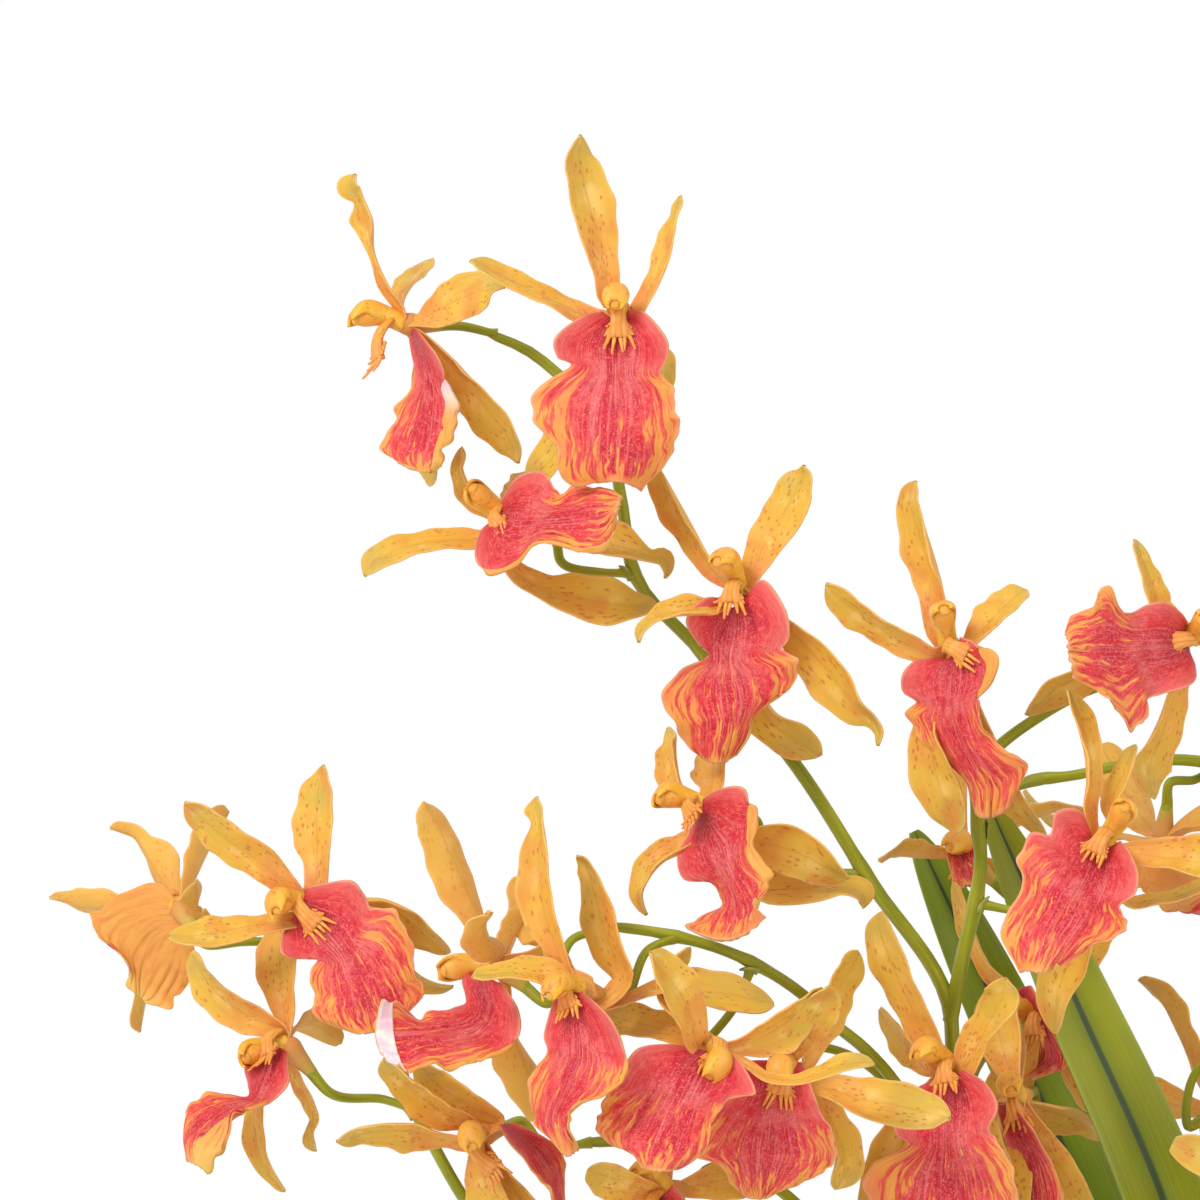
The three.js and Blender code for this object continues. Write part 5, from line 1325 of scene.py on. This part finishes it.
def pot_body(finishes):
    inner = POT_MOUTH_RADIUS - POT_WALL
    low, high = POT_BENDS
    profile = [
        (0.5, 0), (POT_FOOT_RADIUS - 2, 0), (POT_FOOT_RADIUS, 2), (POT_FOOT_RADIUS + 8, low),
        (POT_MOUTH_RADIUS - 5, high), (POT_MOUTH_RADIUS - 1.5, POT_HEIGHT - 13),
        (POT_MOUTH_RADIUS + 1, POT_HEIGHT - 9), (POT_MOUTH_RADIUS + 1, POT_HEIGHT - 2),
        (POT_MOUTH_RADIUS - 1, POT_HEIGHT), (inner + 1, POT_HEIGHT), (inner, POT_HEIGHT - 2),
        (inner - 4, high), (POT_FOOT_RADIUS + 3, low), (POT_FOOT_RADIUS - POT_WALL, POT_FLOOR),
        (0.5, POT_FLOOR),
    ]
    return lathe("pot_body", rounded(profile, 3), POT_SIDES, finishes)


def bark_bed(finishes):
    inner = POT_MOUTH_RADIUS - POT_WALL - BARK_GAP
    foot = POT_FLOOR + BARK_GAP
    low, high = POT_BENDS
    profile = [
        (0.5, foot), (POT_FOOT_RADIUS - POT_WALL - BARK_GAP, foot), (POT_FOOT_RADIUS + 2.5, low),
        (inner - 4, high), (inner - 1.2, BARK_TOP - 4), (inner * 0.6, BARK_TOP + 0.5),
        (0.5, BARK_TOP + 2),
    ]
    return lathe("bark_bed", rounded(profile, 6), BARK_SIDES, finishes)


def bark_tree(finish):
    """Chips of bark strewn over a surface, each turned, sized and roughened by a fixed seed."""
    tree = Tree("Bark chips", Density=26000.0, Seed=11, Length=15.0, Finish=finish)
    strewn = tree.node("GeometryNodeDistributePointsOnFaces", {
        "Mesh": tree.source["Geometry"], "Density": tree.source["Density"], "Seed": tree.source["Seed"],
    })
    chip = tree.node("GeometryNodeMeshCube", {
        "Size": (1.0, 0.62, 0.34), "Vertices X": 5, "Vertices Y": 4, "Vertices Z": 3,
    })
    turn = tree.node("FunctionNodeRandomValue", {"Min": (-0.5, -0.5, 0), "Max": (0.5, 0.5, 6.28)},
                     data_type="FLOAT_VECTOR")
    size = tree.node("FunctionNodeRandomValue", {2: 0.45, 3: 1.0}, data_type="FLOAT")
    metres = tree.math("MULTIPLY", tree.math("MULTIPLY", size.outputs[1], tree.source["Length"]), MM)
    placed = tree.node("GeometryNodeInstanceOnPoints", {
        "Points": strewn.outputs["Points"], "Instance": chip.outputs["Mesh"],
        "Rotation": turn.outputs[0], "Scale": metres,
    })
    real = tree.node("GeometryNodeRealizeInstances", {"Geometry": placed.outputs[0]})
    grain = tree.node("ShaderNodeTexNoise", {"Scale": 190.0, "Detail": 2.0})
    centred = tree.node("ShaderNodeVectorMath", {0: grain.outputs["Color"], 1: (0.5, 0.5, 0.5)},
                        operation="SUBTRACT")
    rough = tree.node("ShaderNodeVectorMath", {0: centred.outputs[0], "Scale": 5 * MM}, operation="SCALE")
    moved = tree.node("GeometryNodeSetPosition", {"Geometry": real.outputs[0], "Offset": rough.outputs[0]})
    tree.end(moved.outputs[0], tree.source["Finish"])
    return tree


def bark_surface():
    """The disc that the chips are strewn over."""
    u = np.linspace(0, 1, 9)[:, None]
    v = np.linspace(0, 2 * math.pi, 33)
    radius = CHIPS_RADIUS * u
    height = BARK_TOP + 1 - 4 * (u ** 2) * np.ones_like(v)
    points = np.stack([radius * np.cos(v), radius * np.sin(v), height], -1).reshape(-1, 3)
    faces = quads(np.arange(len(points)).reshape(9, 33)).tolist()
    pile = Pile()
    pile.add(points, faces, np.zeros_like(points), np.ones(len(points)))
    return pile.piece("bark_surface", [])


# Finishes
class Finish:
    """A material whose nodes are wired by short calls."""

    def __init__(self, name, roughness):
        self.material = bpy.data.materials.new(name)
        self.material.use_nodes = True
        self.tree = self.material.node_tree
        self.surface = self.tree.nodes["Principled BSDF"].inputs
        self.surface["Roughness"].default_value = roughness
        self.cache = {}

    def node(self, kind, inputs=None, **settings):
        node = self.tree.nodes.new(kind)
        for key, value in settings.items():
            setattr(node, key, value)
        for key, value in (inputs or {}).items():
            self.wire(value, node.inputs[key])
        return node

    def wire(self, value, socket):
        if isinstance(value, bpy.types.NodeSocket):
            self.tree.links.new(value, socket)
        else:
            socket.default_value = value

    def read(self, attribute):
        if attribute not in self.cache:
            self.cache[attribute] = self.node("ShaderNodeAttribute", attribute_name=attribute)
        return self.cache[attribute]

    def share(self):
        """The share across and along a blade and its draw."""
        if "parts" not in self.cache:
            vector = self.read("share").outputs["Vector"]
            self.cache["parts"] = self.node("ShaderNodeSeparateXYZ", {0: vector}).outputs
        return self.cache["parts"]

    def math(self, operation, a, b=0.0, clamp=False):
        return self.node("ShaderNodeMath", {0: a, 1: b}, operation=operation, use_clamp=clamp).outputs[0]

    def plus(self, a, b):
        return self.math("ADD", a, b)

    def minus(self, a, b):
        return self.math("SUBTRACT", a, b)

    def times(self, a, b):
        return self.math("MULTIPLY", a, b)

    def larger(self, a, b):
        return self.math("MAXIMUM", a, b)

    def size(self, value):
        return self.math("ABSOLUTE", value)

    def place(self, x, y, z):
        return self.node("ShaderNodeCombineXYZ", {0: x, 1: y, 2: z}).outputs[0]

    def spread(self, wide, long):
        """A place that runs so far across and along a blade, shifted by its draw."""
        across, along, seed = self.share()
        return self.place(self.times(across, wide), self.times(along, long), self.times(seed, 300.0))

    def noise(self, vector, scale, detail=2.0, roughness=0.5):
        inputs = {"Vector": vector, "Scale": scale, "Detail": detail, "Roughness": roughness}
        return self.node("ShaderNodeTexNoise", inputs).outputs["Fac"]

    def steps(self, value, low, high):
        """0 below low, 1 above high and smooth between."""
        node = self.node("ShaderNodeMapRange", {"Value": value, "From Min": low, "From Max": high},
                         interpolation_type="SMOOTHSTEP")
        return node.outputs["Result"]

    def mix(self, share, a, b):
        """From a to b, each a socket or a colour's levels."""
        a, b = (srgb(*colour) if isinstance(colour, tuple) else colour for colour in (a, b))
        node = self.node("ShaderNodeMix", {0: share, 6: a, 7: b}, data_type="RGBA")
        return node.outputs[2]

    def ramp(self, value, stops):
        node = self.node("ShaderNodeValToRGB", {0: value})
        elements = node.color_ramp.elements
        while len(elements) < len(stops):
            elements.new(0.5)
        for element, (place, colour) in zip(elements, stops):
            element.position = place
            element.color = srgb(*colour)
        return node.outputs["Color"]

    def bump(self, height, distance, strength=1.0):
        inputs = {"Height": height, "Distance": distance * MM, "Strength": strength}
        self.wire(self.node("ShaderNodeBump", inputs).outputs[0], self.surface["Normal"])


def srgb(red, green, blue):
    """A colour from its usual 0 to 255 levels."""
    levels = [c / 255 for c in (red, green, blue)]
    return (*[c / 12.92 if c <= 0.04045 else ((c + 0.055) / 1.055) ** 2.4 for c in levels], 1)


def soft_flesh(finish, share, reach):
    """Lets light into a thin fleshy blade."""
    finish.surface["Subsurface Weight"].default_value = share
    finish.surface["Subsurface Radius"].default_value = (1.0, 0.5, 0.2)
    finish.surface["Subsurface Scale"].default_value = reach * MM
    finish.surface["Specular IOR Level"].default_value = 0.28


def tepal_finish():
    """Amber flesh, orange at the claw and olive yellow at the tip, with small lengthwise freckles, pale
    streaks of painted highlight and a painted glow of light along its thin rim.
    """
    f = Finish("tepal", 0.5)
    across, along, _ = f.share()
    place = f.spread(6.0, 42.0)
    cloud = f.noise(place, 0.12, 3.0)
    fibre = f.noise(f.spread(9.6, 4.2), 1.0, 2.0)
    drift = f.plus(along, f.times(f.minus(cloud, 0.5), 0.9))
    base = f.ramp(drift, [
        (0.0, (222, 138, 78)), (0.22, (224, 158, 72)), (0.5, (224, 172, 64)),
        (0.78, (216, 176, 64)), (1.0, (198, 168, 74)),
    ])
    streaked = f.mix(f.times(f.steps(fibre, 0.42, 0.72), 0.4), base, (214, 146, 62))
    # painted highlight: pale cream streaks, kept off the edges, stand in for light falling on the tepal
    light = f.times(f.steps(f.noise(place, 0.14, 4.0), 0.5, 0.72), f.steps(f.size(across), 0.9, 0.2))
    streaked = f.mix(f.times(light, 0.6), streaked, (240, 204, 118))
    burnt = f.steps(f.noise(place, 0.085, 2.0), 0.52, 0.7)
    warm = f.mix(f.times(burnt, 0.6), streaked, (214, 134, 58))
    inner = f.larger(f.read("inner").outputs["Fac"], 0.0)
    outside = f.mix(f.minus(0.5, f.times(inner, 0.5)), warm, (226, 170, 80))
    cells = f.node("ShaderNodeTexVoronoi", {
        "Vector": f.spread(6.0, 21.0), "Scale": 0.86, "Randomness": 1.0,
    })
    size = f.times(f.steps(f.noise(place, 0.16, 2.0), 0.32, 0.56), 0.31)
    spot = f.minus(1.0, f.steps(f.minus(cells.outputs["Distance"], size), -0.1, 0.06))
    freckle = f.times(spot, f.plus(0.32, f.times(inner, 0.3)))
    freckle = f.times(freckle, f.steps(along, 1.0, 0.84))
    freckled = f.mix(freckle, outside, (188, 92, 58))
    mid_vein = f.times(f.steps(f.size(across), 0.1, 0.0), 0.3)
    veined = f.mix(mid_vein, freckled, (190, 128, 52))
    # painted light: the thin rim is painted paler, as if light shone through it
    rim = f.times(f.steps(f.size(across), 0.86, 1.0), 0.45)
    f.wire(f.mix(rim, veined, (232, 184, 116)), f.surface["Base Color"])
    f.bump(fibre, 0.12, 0.5)
    soft_flesh(f, 0.2, 1.6)
    return f.material


def lip_finish():
    """Crimson flesh, finely ribbed, whose amber margin runs inward in many thin strokes, with its thinnest
    margin and tip painted paler as light shining through.
    """
    f = Finish("lip", 0.5)
    across, along, seed = f.share()
    far = f.size(across)
    z = f.times(seed, 300.0)
    flow = f.times(across, f.minus(1.6, f.times(along, 0.9)))
    place = f.spread(17.0, 45.0)
    waver = f.times(f.minus(f.noise(place, 0.22, 2.0), 0.5), 0.12)
    bent = f.plus(flow, waver)
    strokes = f.noise(f.place(f.times(bent, 14.0), f.times(along, 5.5), z), 1.0, 3.0, 0.6)
    fine = f.noise(f.place(f.times(bent, 42.0), f.times(along, 9.0), z), 1.0, 2.0)
    ribs = f.noise(f.place(f.times(flow, 26.0), f.times(along, 2.0), z), 1.0, 1.0)
    cloud = f.noise(place, 0.13, 3.0)
    grain = f.noise(place, 1.9, 2.0)
    apron = f.steps(along, 0.3, 0.46)
    sides = f.times(f.steps(far, 0.15, 1.0), apron)
    margin = f.larger(sides, f.steps(along, 0.66, 1.02))
    edge = f.plus(strokes, f.times(margin, 0.2))
    pale = f.plus(f.times(far, 0.5), f.times(cloud, 0.7))
    base = f.ramp(pale, [
        (0.25, (192, 22, 44)), (0.45, (210, 36, 54)), (0.68, (224, 58, 62)), (0.95, (234, 98, 84)),
    ])
    waist = f.times(f.steps(along, 0.2, 0.34), f.steps(along, 0.62, 0.42))
    waist = f.times(waist, f.steps(cloud, 0.4, 0.6))
    blushed = f.mix(f.times(waist, 0.4), base, (228, 128, 124))
    throat = f.times(f.steps(along, 0.34, 0.12), f.steps(far, 0.7, 0.1))
    deep = f.mix(f.times(throat, 0.6), blushed, (166, 28, 50))
    mottle = f.noise(place, 0.75, 4.0, 0.65)
    patchy = f.mix(f.times(f.steps(mottle, 0.5, 0.66), 0.42), deep, (240, 124, 108))
    patchy = f.mix(f.times(f.steps(mottle, 0.5, 0.36), 0.5), patchy, (188, 18, 42))
    raised = f.times(f.steps(ribs, 0.5, 0.7), f.steps(far, 0.95, 0.1))
    ribbed = f.mix(f.times(raised, 0.42), patchy, (236, 146, 142))
    sunk = f.times(f.steps(fine, 0.52, 0.34), 0.5)
    lined = f.mix(sunk, ribbed, (178, 22, 46))
    specks = f.times(f.steps(grain, 0.56, 0.68), f.steps(far, 1.0, 0.3))
    speckled = f.mix(f.times(specks, 0.4), lined, (240, 170, 165))
    amber = f.mix(f.steps(f.noise(place, 0.2), 0.4, 0.7), (232, 158, 74), (232, 134, 80))
    touched = f.mix(f.times(f.steps(edge, 0.56, 0.66), apron), speckled, (226, 96, 74))
    streaked = f.mix(f.times(f.steps(edge, 0.645, 0.7), apron), touched, amber)
    solid = f.plus(f.larger(f.times(far, apron), f.times(along, 0.985)), waver)
    streaked = f.mix(f.steps(solid, 0.925, 0.975), streaked, amber)
    lobe_rim = f.times(f.steps(far, 0.62, 1.0), f.steps(along, 0.42, 0.3))
    lobed = f.mix(f.times(lobe_rim, 0.6), streaked, (230, 118, 112))
    # painted light: the thin margin and tip are painted paler, as if light shone through them
    thin = f.larger(f.steps(far, 0.94, 1.0), f.steps(along, 0.972, 1.0))
    trimmed = f.mix(f.times(thin, 0.7), lobed, (240, 168, 128))
    side = f.read("inner").outputs["Fac"]
    behind = f.mix(f.steps(strokes, 0.38, 0.7), (230, 164, 76), (226, 144, 76))
    behind = f.mix(f.steps(along, 0.75, 1.0), behind, (228, 178, 92))
    bleached = f.math("MULTIPLY", side, -1.0, clamp=True)
    outer = f.mix(bleached, behind, f.mix(f.steps(cloud, 0.4, 0.6), (246, 226, 214), (238, 196, 206)))
    f.wire(f.mix(f.larger(side, 0.0), outer, trimmed), f.surface["Base Color"])
    relief = f.plus(f.times(fine, 0.6), ribs)
    inside = f.plus(0.25, f.times(f.larger(side, 0.0), 0.75))
    f.bump(f.times(relief, inside), 0.45, 0.75)
    soft_flesh(f, 0.15, 1.2)
    return f.material


def column_finish():
    """Golden yellow, flushed orange over its back, with a few red freckles."""
    f = Finish("column", 0.38)
    across, along, _ = f.share()
    far = f.size(across)
    place = f.spread(7.0, 14.0)
    base = f.mix(f.steps(f.noise(place, 0.3), 0.35, 0.65), (232, 172, 48), (238, 186, 74))
    back = f.times(f.steps(far, 0.75, 0.2), f.steps(along, 0.05, 0.4))
    flushed = f.mix(f.times(back, 0.4), base, (228, 144, 78))
    rim = f.times(f.steps(far, 0.86, 1.0), f.steps(along, 0.3, 0.6))
    rimmed = f.mix(f.times(rim, 0.5), flushed, (198, 112, 42))
    red = f.times(f.steps(f.noise(place, 0.8), 0.6, 0.7), 0.55)
    f.wire(f.mix(red, rimmed, (204, 84, 62)), f.surface["Base Color"])
    f.bump(f.noise(place, 0.4), 0.12, 0.4)
    soft_flesh(f, 0.15, 1.2)
    return f.material


def crest_finish():
    """Waxy orange yellow, redder at its fringe."""
    f = Finish("crest", 0.35)
    _, along, _ = f.share()
    place = f.spread(4.0, 9.0)
    base = f.mix(f.steps(f.noise(place, 0.4), 0.35, 0.7), (232, 156, 66), (238, 174, 92))
    f.wire(f.mix(f.times(f.steps(along, 0.3, 1.0), 0.35), base, (226, 122, 70)), f.surface["Base Color"])
    f.bump(f.noise(place, 1.0), 0.15, 0.5)
    soft_flesh(f, 0.15, 1.0)
    return f.material


def sleeve_finish():
    """Amber where it holds the tepals, yellow green at the stalk."""
    f = Finish("sleeve", 0.5)
    _, along, _ = f.share()
    place = f.spread(9.0, 5.0)
    base = f.ramp(f.plus(along, f.times(f.noise(place, 0.5), 0.25)), [
        (0.1, (214, 138, 70)), (0.6, (208, 152, 82)), (1.0, (186, 168, 72)), (1.15, (150, 158, 48)),
    ])
    f.wire(base, f.surface["Base Color"])
    f.bump(f.noise(place, 0.8), 0.15, 0.4)
    soft_flesh(f, 0.1, 1.0)
    return f.material


def stem_finish():
    """Yellow green with long darker streaks."""
    f = Finish("stem", 0.4)
    distance = f.times(f.read("distance").outputs["Fac"], 1000.0)
    around = f.times(f.read("around").outputs["Fac"], 9.0)
    object_place = f.node("ShaderNodeTexCoord").outputs["Object"]
    cloud = f.noise(object_place, 55.0, 2.0)
    streak = f.noise(f.place(around, f.times(distance, 0.05), 0.0), 1.0, 3.0)
    base = f.ramp(f.plus(f.times(streak, 0.6), f.times(cloud, 0.4)), [
        (0.3, (116, 122, 18)), (0.5, (146, 150, 28)), (0.7, (176, 178, 54)),
    ])
    f.wire(base, f.surface["Base Color"])
    f.bump(streak, 0.2, 0.4)
    soft_flesh(f, 0.1, 1.0)
    return f.material


def bract_finish():
    """Dry green yellow scales."""
    f = Finish("bract", 0.6)
    object_place = f.node("ShaderNodeTexCoord").outputs["Object"]
    base = f.mix(f.steps(f.noise(object_place, 400.0), 0.4, 0.6), (140, 150, 48), (176, 176, 88))
    f.wire(base, f.surface["Base Color"])
    return f.material


def leaf_finish():
    """Satin green with fine parallel veins, yellower towards its edges, with painted shade darkening it
    towards the middle and a dark line of painted shadow down its groove.
    """
    f = Finish("leaf", 0.34)
    across, along, seed = f.share()
    far = f.size(across)
    z = f.times(seed, 50.0)
    vein = f.noise(f.place(f.times(across, 26.0), f.times(along, 6.0), z), 1.0, 2.0)
    cloud = f.noise(f.node("ShaderNodeTexCoord").outputs["Object"], 28.0, 3.0)
    tone = f.plus(f.times(vein, 0.36), f.times(cloud, 0.64))
    olive = f.ramp(tone, [(0.3, (112, 122, 4)), (0.5, (132, 138, 6)), (0.7, (154, 154, 18))])
    green = f.ramp(tone, [(0.3, (96, 128, 24)), (0.5, (120, 148, 32)), (0.7, (142, 166, 46))])
    base = f.mix(seed, olive, green)
    # painted shadow: a dark line down the groove on the inner face, where the crease is in shade
    groove = f.times(f.steps(far, 0.15, 0.05), f.larger(f.read("inner").outputs["Fac"], 0.0))
    # painted shade: darker green on the flanks towards the groove
    shaded = f.mix(f.times(f.steps(far, 0.5, 0.05), 0.4), base, (70, 98, 24))
    grooved = f.mix(f.times(groove, 0.85), shaded, (30, 50, 34))
    rim = f.times(f.steps(far, 0.88, 1.0), 0.5)
    f.wire(f.mix(rim, grooved, (150, 166, 66)), f.surface["Base Color"])
    f.bump(vein, 0.14, 0.5)
    f.surface["Specular IOR Level"].default_value = 0.3
    f.surface["Coat Weight"].default_value = 0.05
    f.surface["Coat Roughness"].default_value = 0.3
    return f.material


def pot_finish():
    """Off white stoneware under a thin satin glaze, lightly flecked."""
    f = Finish("pot", 0.42)
    place = f.node("ShaderNodeTexCoord").outputs["Object"]
    fleck = f.steps(f.noise(place, 900.0, 1.0), 0.66, 0.74)
    cloud = f.mix(f.steps(f.noise(place, 18.0, 4.0), 0.35, 0.65), (222, 218, 208), (208, 202, 190))
    f.wire(f.mix(f.times(fleck, 0.5), cloud, (150, 134, 112)), f.surface["Base Color"])
    f.bump(f.noise(place, 240.0, 3.0), 0.15, 0.35)
    f.surface["Coat Weight"].default_value = 0.25
    f.surface["Coat Roughness"].default_value = 0.2
    return f.material


def bark_finish():
    """Rough brown bark with grey and rust patches."""
    f = Finish("bark", 0.9)
    place = f.node("ShaderNodeTexCoord").outputs["Object"]
    tone = f.noise(place, 90.0, 4.0, 0.65)
    base = f.ramp(tone, [
        (0.3, (52, 34, 24)), (0.5, (98, 66, 44)), (0.62, (130, 92, 62)), (0.75, (156, 128, 100)),
    ])
    f.wire(base, f.surface["Base Color"])
    f.bump(f.noise(place, 420.0, 4.0, 0.7), 0.8, 0.8)
    return f.material


# Studio
VIEW_CENTRE = (-150, -35, 470)
VIEW_WIDTH = 300
VIEW_DISTANCE = 4000
SENSOR_WIDTH = 36
SKY_TOP = 0.74  # how bright the sky is overhead, as a share of the horizon


def camera():
    data = bpy.data.cameras.new("camera")
    data.sensor_width = SENSOR_WIDTH
    data.lens = SENSOR_WIDTH * VIEW_DISTANCE / VIEW_WIDTH
    data.clip_end = 50
    holder = bpy.data.objects.new("camera", data)
    x, y, z = VIEW_CENTRE
    holder.location = (x * MM, (y - VIEW_DISTANCE) * MM, z * MM)
    holder.rotation_euler = (math.pi / 2, 0, 0)
    bpy.context.scene.collection.objects.link(holder)
    bpy.context.scene.camera = holder


def lamp(name, place, target, size, power):
    data = bpy.data.lights.new(name, "AREA")
    data.shape = "DISK"
    data.size = size
    data.energy = power
    holder = bpy.data.objects.new(name, data)
    way = np.array(target, float) - np.array(place, float)
    holder.rotation_euler = Vector(way).to_track_quat("-Z", "Y").to_euler()
    holder.location = place
    bpy.context.scene.collection.objects.link(holder)


def studio():
    """A pale floor under a soft sky, white round the horizon, with a key from the upper left."""
    world = bpy.data.worlds.new("studio")
    world.use_nodes = True
    nodes, links = world.node_tree.nodes, world.node_tree.links
    height = nodes.new("ShaderNodeSeparateXYZ")
    links.new(nodes.new("ShaderNodeTexCoord").outputs["Generated"], height.inputs[0])
    level = nodes.new("ShaderNodeMath")
    level.operation = "ABSOLUTE"
    links.new(height.outputs["Z"], level.inputs[0])
    dim = nodes.new("ShaderNodeMapRange")
    for socket, value in zip(("From Min", "From Max", "To Min", "To Max"), (0.16, 0.42, 1.0, SKY_TOP)):
        dim.inputs[socket].default_value = value
    links.new(level.outputs[0], dim.inputs["Value"])
    links.new(dim.outputs["Result"], nodes["Background"].inputs["Color"])
    bpy.context.scene.world = world
    lamp("key", (-1.3, -1.5, 1.8), (-0.1, 0, 0.42), 0.9, 30)
    lamp("fill", (1.3, -1.2, 0.9), (-0.1, 0, 0.4), 1.4, 5)
    bpy.ops.mesh.primitive_circle_add(vertices=96, radius=2.4, fill_type="NGON")
    floor = bpy.context.active_object
    floor.name = "floor"
    f = Finish("floor", 0.8)
    f.surface["Base Color"].default_value = (0.86, 0.86, 0.85, 1)
    floor.data.materials.append(f.material)


def place(piece, slot, *nodes):
    """Sets a piece on the plant in the place of the solids that it stands for."""
    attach(piece, "root")
    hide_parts(*nodes)


camera()
studio()
bpy.context.scene.view_settings.view_transform = "Standard"

bloom_coats = [tepal_finish(), column_finish(), crest_finish(), sleeve_finish()]
lip_coat = [lip_finish()]
stem_coat = stem_finish()
bract_coat = [bract_finish()]
leaf_coat = [leaf_finish()]

WHOLE = "efg"
for letter, spray in SPRAYS.items():
    node = f"spray_{letter}" if letter in WHOLE else f"stem_{letter}"
    tree = stem_tree(stem_coat)
    place(tree.grow(f"flower_stem_{letter}", spray_curves(letter)), "stem", node)
    place(bracts(letter, bract_coat), "stem", node)
    for name in spray["stalks"]:
        place(rosette(name, bloom_coats), "tepal", node if letter in WHOLE else f"tepals_{name}")
        place(lip(name, lip_coat), "lip", f"lip_{name}")

for name in LEAVES:
    place(blade(name, leaf_coat), "leaf", name)

bark_coat = bark_finish()
place(pot_body([pot_finish()]), "pot", "pot")
place(bark_bed([bark_coat]), "bark", "bark_fill")
place(bark_tree(bark_coat).grow("bark_chips", bark_surface()), "bark", "bark_fill")
